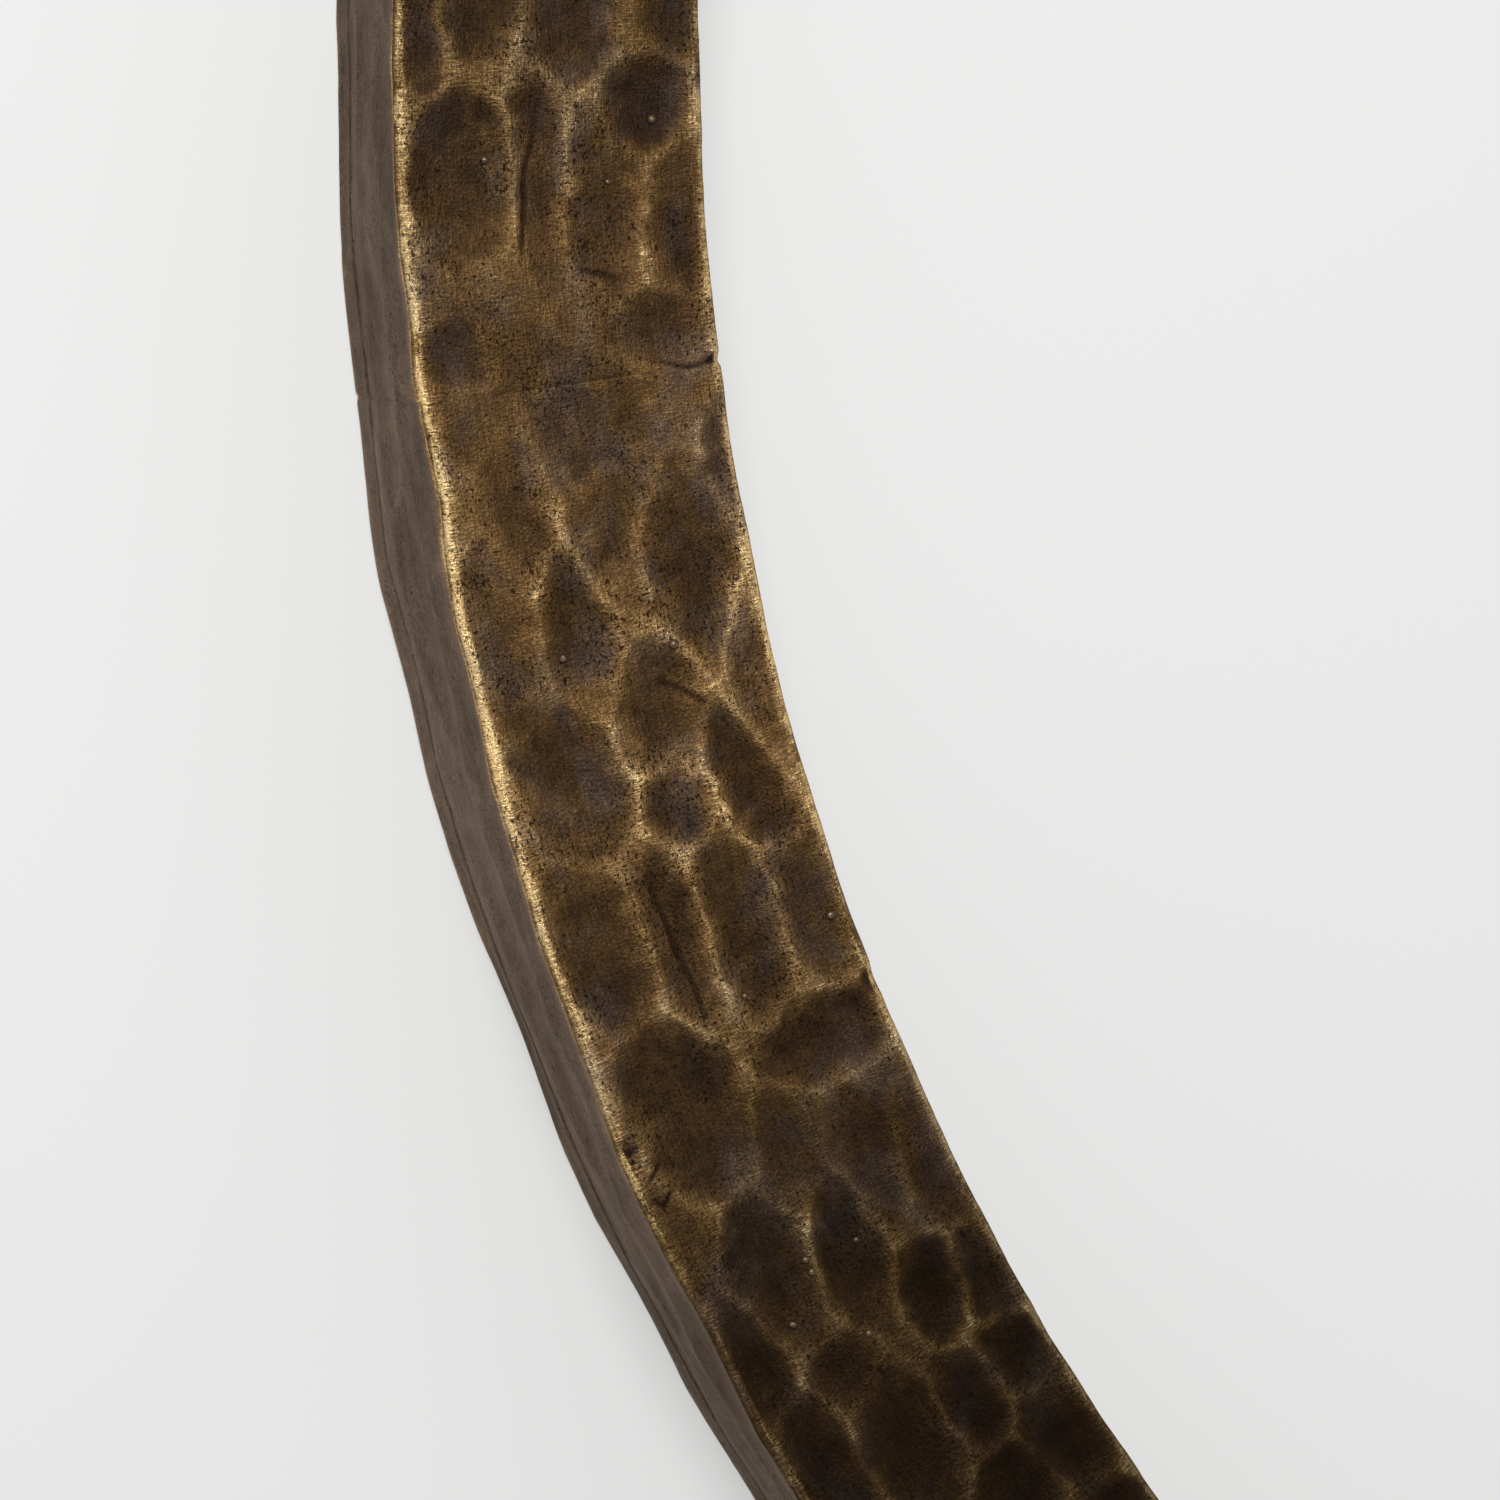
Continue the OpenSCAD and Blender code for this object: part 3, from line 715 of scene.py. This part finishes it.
def bronze_material():
    """Dark brown patina in the hollows, rubbed to gold on ridges and arrises, with a painted highlight on
    the arrises, taupe on the sides, and painted shade along the horn.
    """
    n = Nodes("cast_bronze_patina")
    rub = n.attribute("rub")
    flank = n.attribute("flank")
    # Painted shade along the horn, read per point.
    painted_shade = n.attribute("painted_shade")
    grain = n.attribute("grain", "Vector")
    streak = n.signed(grain, (0.12, 2.2, 2.2), 4, 1.6)
    fine_streak = n.signed(grain, (0.5, 6.0, 6.0), 2, 2.0)
    mottle = n.signed(grain, (0.26, 0.32, 0.32), 5, 2.0, 0.6)
    patch = n.signed(grain, (0.060, 0.085, 0.085), 2, 2.4)
    hatch = n.signed(grain, (4.6, 0.75, 0.75), 3, 3.0, 0.4)
    speck = n.signed(grain, (2.6, 2.6, 2.6), 4, 2.5)
    rough_zone = n.remap(n.noise(grain, (0.10, 0.13, 0.13), 2), 0.42, 0.60)
    pit_level = n.math("SUBTRACT", 0.66, n.math("MULTIPLY", rough_zone, 0.07))
    pit_noise = n.noise(grain, (2.1, 2.4, 2.4), 3)
    pits = n.math("MULTIPLY", n.math("SUBTRACT", pit_noise, pit_level), 22, clamp=True)
    big_pit = n.remap(n.noise(grain, (0.75, 0.9, 0.9), 2), 0.72, 0.76)

    hatched = n.math("MULTIPLY", hatch, n.remap(rub, 0.25, 0.8))
    tone = rub
    for texture, share in ((mottle, 0.20), (patch, 0.16), (streak, 0.16), (fine_streak, 0.16),
                           (hatched, 0.26), (speck, 0.19)):
        tone = n.math("ADD", tone, n.math("MULTIPLY", texture, share))
    # Painted shade along the horn also lowers the tone a little.
    tone = n.math("ADD", tone, n.remap(painted_shade, 0.4, 1.2, -0.05, 0.03), clamp=True)

    face = n.ramp(tone, [(0.0, (0.026, 0.013, 0.005)), (0.20, (0.044, 0.023, 0.009)),
                         (0.40, (0.088, 0.047, 0.018)), (0.58, (0.165, 0.092, 0.034)),
                         (0.78, (0.320, 0.198, 0.084)), (1.0, (0.800, 0.560, 0.260))])
    grey_zone = n.remap(n.noise(grain, (0.10, 0.15, 0.15), 3, 0.4), 0.48, 0.66)
    grey = n.ramp(tone, [(0.0, (0.026, 0.018, 0.016)), (0.3, (0.068, 0.047, 0.038)),
                         (0.6, (0.170, 0.115, 0.075)), (1.0, (0.62, 0.46, 0.27))])
    face = n.blend(n.math("MULTIPLY", grey_zone, 0.6), face, grey)
    side = n.ramp(tone, [(0.0, (0.022, 0.013, 0.009)), (0.3, (0.076, 0.055, 0.042)),
                         (0.5, (0.140, 0.100, 0.078)), (0.8, (0.34, 0.235, 0.125)),
                         (1.0, (0.78, 0.58, 0.31))])
    # Painted shade darkens the face's colour; the sides take less of it.
    side_painted_shade = n.math("MAXIMUM", painted_shade, 0.85)
    face = n.shaded(face, painted_shade)
    side = n.shaded(side, side_painted_shade)
    colour = n.blend(flank, face, side)
    holes = n.math("MAXIMUM", pits, big_pit)
    colour = n.blend(n.math("MULTIPLY", holes, 0.82), colour, (0.010, 0.006, 0.004))

    metallic = n.remap(tone, 0.15, 0.7, 0.72, 0.92)
    roughness = n.math("ADD", n.remap(tone, 0.1, 0.9, 0.52, 0.36), n.math("MULTIPLY", speck, 0.05))
    height = n.math("MULTIPLY", holes, -1.5)
    for texture, share in ((fine_streak, 0.30), (streak, 0.35), (hatched, 0.55), (speck, 0.55)):
        height = n.math("ADD", height, n.math("MULTIPLY", texture, share))
    normal = n.bump(height, 0.00018, 0.9)
    n.shader.inputs["Specular IOR Level"].default_value = 0.25
    n.shader.inputs["Specular Tint"].default_value = (0.86, 0.72, 0.60, 1)
    return n.finish(colour, metallic, roughness, normal)


def place_vector(n):
    """An object's own coordinates in millimetres, for pieces without a grain attribute."""
    return n.scaled(n.node("TexCoord").outputs["Object"], (1000, 1000, 1000))


def brass_material(name, stretch, dull):
    """Warm brass with drawn or turned lines along one direction, and darker oxidised patches."""
    n = Nodes(name)
    place = place_vector(n)
    lines = n.noise(place, stretch, 3)
    patch = n.noise(place, (0.09, 0.09, 0.09), 4, 0.5)
    speck = n.noise(place, (1.6, 1.6, 1.6), 4)
    tone = n.math("ADD", n.math("MULTIPLY", patch, 0.6), n.math("MULTIPLY", lines, 0.4))
    colour = n.ramp(tone, [(0.25, (0.20 * dull, 0.125 * dull, 0.052 * dull)),
                           (0.5, (0.52 * dull, 0.36 * dull, 0.155 * dull)),
                           (0.75, (0.74 * dull, 0.54 * dull, 0.26 * dull))])
    roughness = n.remap(n.math("ADD", patch, n.math("MULTIPLY", speck, 0.3)), 0.4, 0.9, 0.34, 0.18)
    height = n.math("ADD", lines, n.math("MULTIPLY", speck, 0.35))
    return n.finish(colour, 0.95, roughness, n.bump(height, 0.00005, 0.6))


def steel_material():
    """Grey steel with dark spots, for the screws."""
    n = Nodes("worn_screw_steel")
    place = place_vector(n)
    speck = n.noise(place, (2.2, 2.2, 2.2), 4)
    colour = n.ramp(speck, [(0.3, (0.10, 0.085, 0.07)), (0.5, (0.30, 0.28, 0.25)),
                            (0.8, (0.48, 0.46, 0.43))])
    return n.finish(colour, 0.95, n.remap(speck, 0.3, 0.7, 0.5, 0.3), n.bump(speck, 0.00004))


def bead_material():
    """Dull bronze beads with brighter and darker specks."""
    n = Nodes("casting_bead_bronze")
    speck = n.noise(place_vector(n), (2.5, 2.5, 2.5), 3)
    colour = n.ramp(speck, [(0.3, (0.07, 0.045, 0.03)), (0.55, (0.17, 0.115, 0.075)),
                            (0.75, (0.30, 0.22, 0.145))])
    return n.finish(colour, 0.9, 0.45, n.bump(speck, 0.00006))


def floor_material():
    """A pale floor that glows a little, so that it stays even round the horn."""
    n = Nodes("pale_floor")
    place = place_vector(n)
    tint = n.noise(place, (0.004, 0.004, 0.004), 2)
    colour = n.ramp(tint, [(0.3, (0.330, 0.330, 0.327)), (0.7, (0.340, 0.340, 0.338))])
    n.shader.inputs["Emission Color"].default_value = (1.0, 1.0, 0.995, 1)
    n.shader.inputs["Emission Strength"].default_value = 0.455
    n.shader.inputs["Specular IOR Level"].default_value = 0.0
    return n.finish(colour, 0.0, 0.9)


BRONZE = bronze_material()
BRASS = brass_material("drawn_brass", (0.3, 0.3, 1.4), 0.95)
TURNED = brass_material("turned_brass_rings", (0.15, 4.0, 0.15), 0.95)
STEEL = steel_material()
BEAD = bead_material()

# ---------------------------------------------------------------- the castings
CASTINGS = {"neck": (-NECK_L, 0.0, 0.7), "mid": (0.0, JOINT_L, 0.40),
            "upper": (JOINT_L, ARC_L, 0.40), "bell": (ARC_L, ARC_L + BELL_L, 0.8)}
for part, (from_l, to_l, step) in CASTINGS.items():
    front = front_casting(part + "_front_casting", from_l, to_l, step)
    back = back_casting(part + "_back_casting", from_l, to_l, step * 1.6)
    for piece, node in ((front, part + "_front_shell"), (back, part + "_back_shell")):
        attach(piece, "horn")
        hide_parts(node)

# ---------------------------------------------------------------- screw holes in the back castings
HOLE_STATIONS = {"neck": [-13.0], "mid": [arc_length(5), arc_length(28)],
                 "upper": [arc_length(37), arc_length(44)]}


def revolved(profile, sides, ends):
    """Points and faces of a (radius, height) profile turned about Z, in millimetres."""
    angle = np.arange(sides) * 2 * math.pi / sides
    rings = [np.stack([r * np.cos(angle), r * np.sin(angle), np.full(sides, h)], -1) for r, h in profile]
    return np.concatenate(rings), ring_faces(len(profile), sides, ends)


def merged(name, solids, material):
    """One mesh object from several pairs of (points, faces) in millimetres."""
    all_faces = []
    count = 0
    for points, faces in solids:
        all_faces += [[i + count for i in face] for face in faces]
        count += len(points)
    return new_mesh_object(name, np.concatenate([points for points, _ in solids]) * MM,
                           all_faces, material)


def cut_screw_holes(casting, stations):
    """Cuts the countersunk holes through a back casting's floor."""
    profile = [(HOLE_HEAD_R, -1.0), (HOLE_HEAD_R, 0.0), (HOLE_R, HOLE_HEAD_L), (HOLE_R, HOLE_L)]
    points, faces = revolved(profile, 48, "capped")
    holes = []
    for along in stations:
        sec = section([along])
        for side in (-SCREW_X, SCREW_X):
            centre = sec["centre"][0] + sec["out"][0] * side - ORIGIN
            holes.append((points + [*centre, sec["base"][0]], faces))
    cutter = merged("cutter", holes, BRONZE)
    modifier = casting.modifiers.new("holes", "BOOLEAN")
    modifier.operation = "DIFFERENCE"
    modifier.solver = "EXACT"
    modifier.object = cutter
    bpy.context.view_layer.objects.active = casting
    with bpy.context.temp_override(object=casting, active_object=casting):
        bpy.ops.object.modifier_apply(modifier=modifier.name)
    bpy.data.objects.remove(cutter, do_unlink=True)


for part, hole_stations in HOLE_STATIONS.items():
    cut_screw_holes(bpy.data.objects[part + "_back_casting"], hole_stations)

# ---------------------------------------------------------------- rings: the bell's rim, the collar
def ring_piece(name, angles, outer, inner, profile, place, relief, rubs):
    """A ring whose section runs through the profile: (share from inner to outer, inset, height,
    relief on the face, relief on the wall)."""
    share, inset, level, on_face, on_wall = np.array(profile, float).T
    round_l = np.cumsum(np.hypot(*np.gradient(outer[:, None] * np.stack(
        [np.cos(angles), np.sin(angles)], -1), axis=0).T))
    a = np.broadcast_to(round_l[:, None], (len(angles), len(profile)))
    b = np.broadcast_to(np.cumsum(np.hypot(np.gradient(level), np.gradient(share) * 12))[None], a.shape)
    dent = relief * (0.5 + 0.5 * rough(a, b, 6, 91)) + 0.3 * relief * rough(a, b, 2, 93)
    radius = inner[:, None] * (1 - share) + outer[:, None] * share - inset - dent * on_wall
    height = level - dent * on_face
    across = radius * np.cos(angles)[:, None]
    up = radius * np.sin(angles)[:, None]
    points = place(across, up, height)
    obj = new_mesh_object(name, points.reshape(-1, 3) * MM, ring_faces(*a.shape, "joined"), BRONZE)
    worn = np.array(rubs)[None] + 0.16 * rough(a, b, 5, 95) - 0.5 * (dent - dent.mean())
    grain = np.stack([a + 700, b, height], -1)
    # The rings get an even painted shade of 0.95.
    put_attributes(obj, {"rub": np.clip(worn, 0, 1.3), "flank": np.full(a.shape, 0.25),
                         "painted_shade": np.full(a.shape, 0.95)}, grain)
    return obj


def soft_least(values, soft):
    """The least of several distances, rounded where two are close."""
    return -soft * np.log(sum(np.exp(-v / soft) for v in values))


def box_reach(angles, half_w, low, high, low_c, high_c, soft):
    """Distance from the middle to the side of a chamfered rectangle, along each angle."""
    c = np.cos(angles)
    s = np.sin(angles)
    tiny = 1e-6
    walls = [half_w / np.maximum(np.abs(c), tiny),
             np.where(s > 0, high, low) / np.maximum(np.abs(s), tiny),
             (half_w + np.where(s > 0, high - high_c, low - low_c)) / (np.abs(c) + np.abs(s))]
    return soft_least(walls, soft)


def edge_run(share_from, share_to, inset_from, inset_to, low, high, count, face, wall):
    """Points from one place on a ring's section to another, with where its relief acts."""
    k = np.linspace(0, 1, count)
    return [(mix(share_from, share_to, t), mix(inset_from, inset_to, t), mix(low, high, t), face, wall)
            for t in k]


def bell_rim():
    """The ring over the bell's mouth: a chamfered rectangle outside, rounder inside."""
    angles = np.linspace(0, 2 * math.pi, 900, endpoint=False)
    middle = BELL_D / 2
    outer = box_reach(angles, BELL_W / 2 + RIM_PROUD, middle, middle + RIM_PROUD,
                      BELL_BACK_C, BELL_C, 0.25)
    half_w = BELL_W / 2 - FLARE_INSET - PIPE_T
    half_d = BELL_D / 2 - FLARE_INSET - PIPE_T
    inner = (np.abs(np.cos(angles) / half_w) ** 4 + np.abs(np.sin(angles) / half_d) ** 4) ** -0.25
    profile = (edge_run(0, 0, 0, 0, 0.05, RIM_T - 0.8, 4, 0, 0)
               + [(0.0, -0.25, RIM_T - 0.3, 0, 0), (0.0, -0.75, RIM_T - 0.02, 0.2, 0)]
               + edge_run(0, 1, -1.4, 1.6, RIM_T, RIM_T, 14, 1, 0)
               + [(1.0, 0.9, RIM_T - 0.1, 0.6, 0.2), (1.0, 0.3, RIM_T - 0.5, 0.3, 0.6)]
               + edge_run(1, 1, 0, 0, RIM_T - 1.1, 0.6, 8, 0, 0.7)
               + [(1.0, 0.15, 0.2, 0, 0.5), (1.0, 0.5, 0.0, 0, 0)])
    rubs = [0.45] * 4 + [0.8, 0.95] + [0.42] * 14 + [0.85, 1.0] + [0.40] * 8 + [0.7, 0.5]
    top = ORIGIN - MOUTH

    def place(across, up, height):
        return np.stack([height - top[0], across - top[1], up + middle], -1)

    return ring_piece("bell_rim_ring", angles, outer, inner, profile, place, 0.30, rubs)


def neck_collar():
    """A cap over the neck's end, round the receiver."""
    angles = np.linspace(0, 2 * math.pi, 480, endpoint=False)
    lap = (NECK_L - 6) / NECK_L
    half_w = (mix(FACE_W, NECK_W, lap) + 0.2) / 2 + 1.4
    half_d = (mix(BODY_D, NECK_D, lap) + 0.2) / 2 + 1.4
    outer = box_reach(angles, half_w, half_d, half_d, 1.2, 1.2, 0.15)
    inner = np.full(len(angles), RECEIVER_R + 0.05)
    long = 9.0
    cap = 3.0
    profile = (edge_run(0, 0, 0, 0, long - cap, long - 0.3, 3, 0, 0)
               + edge_run(0, 1, -0.3, 1.1, long, long, 14, 1, 0)
               + [(1.0, 0.6, long - 0.1, 0.5, 0.2), (1.0, 0.2, long - 0.4, 0.2, 0.4)]
               + edge_run(1, 1, 0, 0, long - 0.9, 0.6, 12, 0, 0.8)
               + [(1.0, 0.15, 0.15, 0, 0.4), (1.0, 0.5, 0.0, 0, 0), (1.0, 1.35, 0.0, 0, 0),
                  (1.0, 1.38, long - cap - 0.05, 0, 0)])
    rubs = [0.4] * 3 + [0.42] * 14 + [0.85, 1.0] + [0.40] * 12 + [0.85, 0.6, 0.2, 0.1]

    def place(across, up, height):
        return np.stack([-across - ORIGIN[0], -(NECK_L - 6 + height) - ORIGIN[1], up + AXIS_Z], -1)

    return ring_piece("collar_cap", angles, outer, inner, profile, place, 0.22, rubs)


# ---------------------------------------------------------------- turned pieces on the neck's axis
def turned(name, profile, material, sides=128):
    """A closed (radius, distance from the neck's end of the horn) profile turned on the axis."""
    points, faces = revolved(profile, sides, "joined")
    x = points[:, 0] - ORIGIN[0]
    y = -(NECK_L + RECEIVER_OUT + points[:, 2]) - ORIGIN[1]
    z = points[:, 1] + AXIS_Z
    return new_mesh_object(name, np.stack([x, y, z], -1) * MM, faces, material, smooth_deg=40)


def arc_points(centre, radii, from_deg, to_deg, count):
    """Points on a stretch of an ellipse."""
    angles = np.radians(np.linspace(from_deg, to_deg, count))
    return [(centre[0] + radii[0] * math.cos(t), centre[1] + radii[1] * math.sin(t)) for t in angles]


def mouthpiece():
    """Shank, two rings, a waist and a cup with a rounded rim, turned as one piece."""
    rim_y = CUP_L - 1.6
    profile = [(LEAD_R - 1.0, -SHANK_L + 0.3), (LEAD_R - 0.2, -SHANK_L + 0.2),
               (LEAD_R, -SHANK_L + 0.5), (LEAD_R, -0.02), (8.1, 0.0)]
    profile += arc_points((8.0, 0.6), (0.5, 0.6), -80, 0, 5)
    profile += arc_points((8.0, 1.1), (0.5, 0.5), 0, 80, 5)
    profile += [(7.5, 1.8), (7.5, 2.1)]
    profile += arc_points((7.7, 2.5), (0.5, 0.35), -80, 80, 7)
    profile += [(7.3, 3.2), (6.85, 4.6), (6.6, 6.2), (6.45, 8.0), (6.5, 9.4), (6.8, 10.8),
                (7.45, 12.2), (8.4, 13.6), (9.4, 14.9), (10.35, 16.3), (11.1, 17.8), (11.6, 19.3),
                (11.85, 20.6)]
    profile += [(CUP_R, rim_y - 1.2)]
    profile += arc_points((CUP_R - 1.75, rim_y), (1.75, 1.6), 0, 90, 12)
    profile += arc_points((CUP_R - 2.1, rim_y), (1.6, 1.6), 92, 165, 9)
    profile += arc_points((0, rim_y), (8.25, 9.2), -2, -74, 14)
    profile += [(2.2, 15.0), (2.2, 13.5), (2.35, 11.0), (2.9, 2.0), (3.6, -9.0), (4.3, -20.0)]
    return turned("mouthpiece_turned", profile, TURNED)


def receiver():
    """The socket for the shank, with two grooves near its end."""
    far = -RECEIVER_L
    profile = [(LEAD_R + 0.05, far), (RECEIVER_R - 0.3, far), (RECEIVER_R, far + 0.3),
               (RECEIVER_R, -9.0)]
    for ring in (-6.2, -4.6):
        profile += [(RECEIVER_R, ring - 0.3), (RECEIVER_R - 0.35, ring - 0.15),
                    (RECEIVER_R - 0.35, ring + 0.15), (RECEIVER_R, ring + 0.3)]
    profile += [(RECEIVER_R, -0.7)]
    profile += arc_points((RECEIVER_R - 0.5, -0.55), (0.5, 0.5), 0, 90, 5)
    profile += [(LEAD_R + 0.35, -0.05), (LEAD_R + 0.05, -0.35)]
    return turned("receiver_turned", profile, TURNED)


# ---------------------------------------------------------------- the brass flare inside the bell
def bell_flare():
    """Thin brass from the round of the pipe to the rounded rectangle of the mouth."""
    along = np.linspace(ARC_L, ARC_L + BELL_L, 150)
    sec = section(along)
    swell = sec["swell"][:, None]
    angles = np.linspace(0, 2 * math.pi, 144, endpoint=False)[None]
    power = 2 / mix(2, 4, swell)
    c = np.sign(np.cos(angles)) * np.abs(np.cos(angles)) ** power
    s = np.sign(np.sin(angles)) * np.abs(np.sin(angles)) ** power
    half_w = mix(PIPE_R, BELL_W / 2 - FLARE_INSET, swell)
    half_d = mix(PIPE_R, BELL_D / 2 - FLARE_INSET, swell)
    middle = mix(AXIS_Z, BELL_D / 2, swell)
    walls = []
    for inset in (0.0, PIPE_T):
        dent = 0.12 * rough(along[:, None] + 0 * c, angles * half_w, 9, 97) if inset else 0 * c
        across = (half_w - inset - dent) * c
        height = middle + (half_d - inset - dent) * s
        walls.append(stand(sec, across, height).reshape(-1, 3))
    rings, n = c.shape
    outside = ring_faces(rings, n, "open")
    count = rings * n
    inside = [[i + count for i in face[::-1]] for face in outside]
    ends = []
    for start, flip in ((0, True), ((rings - 1) * n, False)):
        for i in range(n):
            j = (i + 1) % n
            face = [start + i, start + j, start + j + count, start + i + count]
            ends.append(face[::-1] if flip else face)
    return new_mesh_object("bell_flare_sheet", np.concatenate(walls), outside + inside + ends, BRASS)


# ---------------------------------------------------------------- casting beads
# Small shot-like beads left on the casting: (turn in degrees, across, radius).
BEADS = [(38.3, 8.2, 0.55), (39.0, -13.5, 0.6), (37.7, -7.4, 0.4), (27.6, -7.3, 0.7),
         (27.9, 6.8, 0.6), (28.7, -17.0, 0.45), (20.7, -17.1, 0.6), (19.8, -3.0, 0.4),
         (14.0, 3.4, 0.5), (13.7, 3.4, 0.5), (12.9, 8.6, 0.55), (11.9, 0.7, 0.5),
         (13.8, -3.7, 0.4)]


def casting_beads(from_turn, to_turn):
    """One piece of beads, half sunk in the face, for those between two turns."""
    beads = []
    for turn, across, radius in BEADS:
        if from_turn <= turn < to_turn:
            along = arc_length(turn)
            sec = section([along])
            cut = face_cut(np.array([[along]]), np.array([[across]]))
            points, faces = revolved(arc_points((0, 0), (radius, radius), -80, 80, 9), 16, "capped")
            level = sec["top"][0] - cut[0, 0] + 0.2 * radius
            centre = sec["centre"][0] + sec["out"][0] * across - ORIGIN
            beads.append((points + [*centre, level], faces))
    return merged(f"casting_beads_{from_turn:.0f}", beads, BEAD)


REFINED = [(bell_rim(), "bell_rim", "horn", "cast_bronze"),
           (neck_collar(), "neck_collar", "horn", "cast_bronze"),
           (bell_flare(), "bell_flare", "horn", "brass_tube"),
           (receiver(), "mouthpiece_receiver", "horn", "turned_brass"),
           (mouthpiece(), "mouthpiece", "mouthpiece", "turned_brass")]
for piece, node, body, finish in REFINED:
    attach(piece, body)
    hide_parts(node)
for from_turn, to_turn in ((0, JOINT_TURN), (JOINT_TURN, ARC_TURN)):
    beads = casting_beads(from_turn, to_turn)
    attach(beads, "horn")

# ---------------------------------------------------------------- CAD nodes that show as they are
CAD_LOOKS = {"arc_pipe": BRASS, "lead_pipe": BRASS, "bell_ferrule": BRASS, "lead_ferrule": BRASS,
             "neck_cradle": BRASS, "mid_cradle_1": BRASS, "mid_cradle_2": BRASS,
             "upper_cradle_1": BRASS, "upper_cradle_2": BRASS, "shell_screws": STEEL}
for node, material in CAD_LOOKS.items():
    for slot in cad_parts[node].material_slots:
        slot.material = material

# ---------------------------------------------------------------- camera, floor and light
LOOK_TURN = 39.4
TILT = (5.37, 16.2, 1.48)
CAMERA_OFF = (24.9, -79.7, 1000.0)
LENS = 194.5


def spin(angle, axis):
    return Matrix.Rotation(math.radians(angle), 3, axis)


def add_camera():
    """Looks down on the arc with LOOK_TURN upright, and returns the turn that does it."""
    tilt = (spin(TILT[0], "X") @ spin(TILT[1], "Y") @ spin(TILT[2], "Z")).transposed()
    level = spin(-LOOK_TURN, "Z")
    turn = math.radians(LOOK_TURN)
    target = np.array([ARC_R * (1 - math.cos(turn)), ARC_R * math.sin(turn)]) - ORIGIN
    place = level @ (tilt @ Vector(CAMERA_OFF)) + Vector((*target, BODY_D))
    data = bpy.data.cameras.new("camera")
    data.lens = LENS
    data.sensor_width = 36
    data.clip_end = 20
    camera = add_object("camera", data)
    camera.matrix_world = Matrix.Translation(place * MM) @ (level @ tilt).to_4x4()
    bpy.context.scene.camera = camera
    return level


def add_area(name, place, aim, size, power):
    """A round soft light that faces a point."""
    data = bpy.data.lights.new(name, "AREA")
    data.shape = "DISK"
    data.size = size
    data.energy = power
    light = add_object(name, data)
    light.location = place
    light.rotation_euler = (aim - place).to_track_quat("-Z", "Y").to_euler()


def add_floor():
    side = 6.0
    mesh = bpy.data.meshes.new("floor")
    corners = [(-side, -side, 0), (side, -side, 0), (side, side, 0), (-side, side, 0)]
    mesh.from_pydata(corners, [], [(0, 1, 2, 3)])
    mesh.materials.append(floor_material())
    add_object("floor", mesh)


def add_world(strength):
    world = bpy.data.worlds.new("soft_studio")
    world.use_nodes = True
    background = world.node_tree.nodes["Background"]
    background.inputs["Color"].default_value = (1.0, 1.0, 0.995, 1)
    background.inputs["Strength"].default_value = strength
    bpy.context.scene.world = world


level = add_camera()
add_floor()
add_world(0.46)
seen_x, seen_y = (section([arc_length(26)])["centre"][0] - ORIGIN) * MM
up = level @ Vector((0, 1, 0))
right = level @ Vector((1, 0, 0))
middle = Vector((seen_x, seen_y, 0.03))
add_area("key", middle + 0.38 * up - 0.16 * right + Vector((0, 0, 0.62)), middle, 0.25, 4.6)
add_area("fill", middle + 0.55 * right + Vector((0, 0, 0.35)), middle, 0.5, 0.4)
bpy.context.scene.view_settings.view_transform = "Standard"
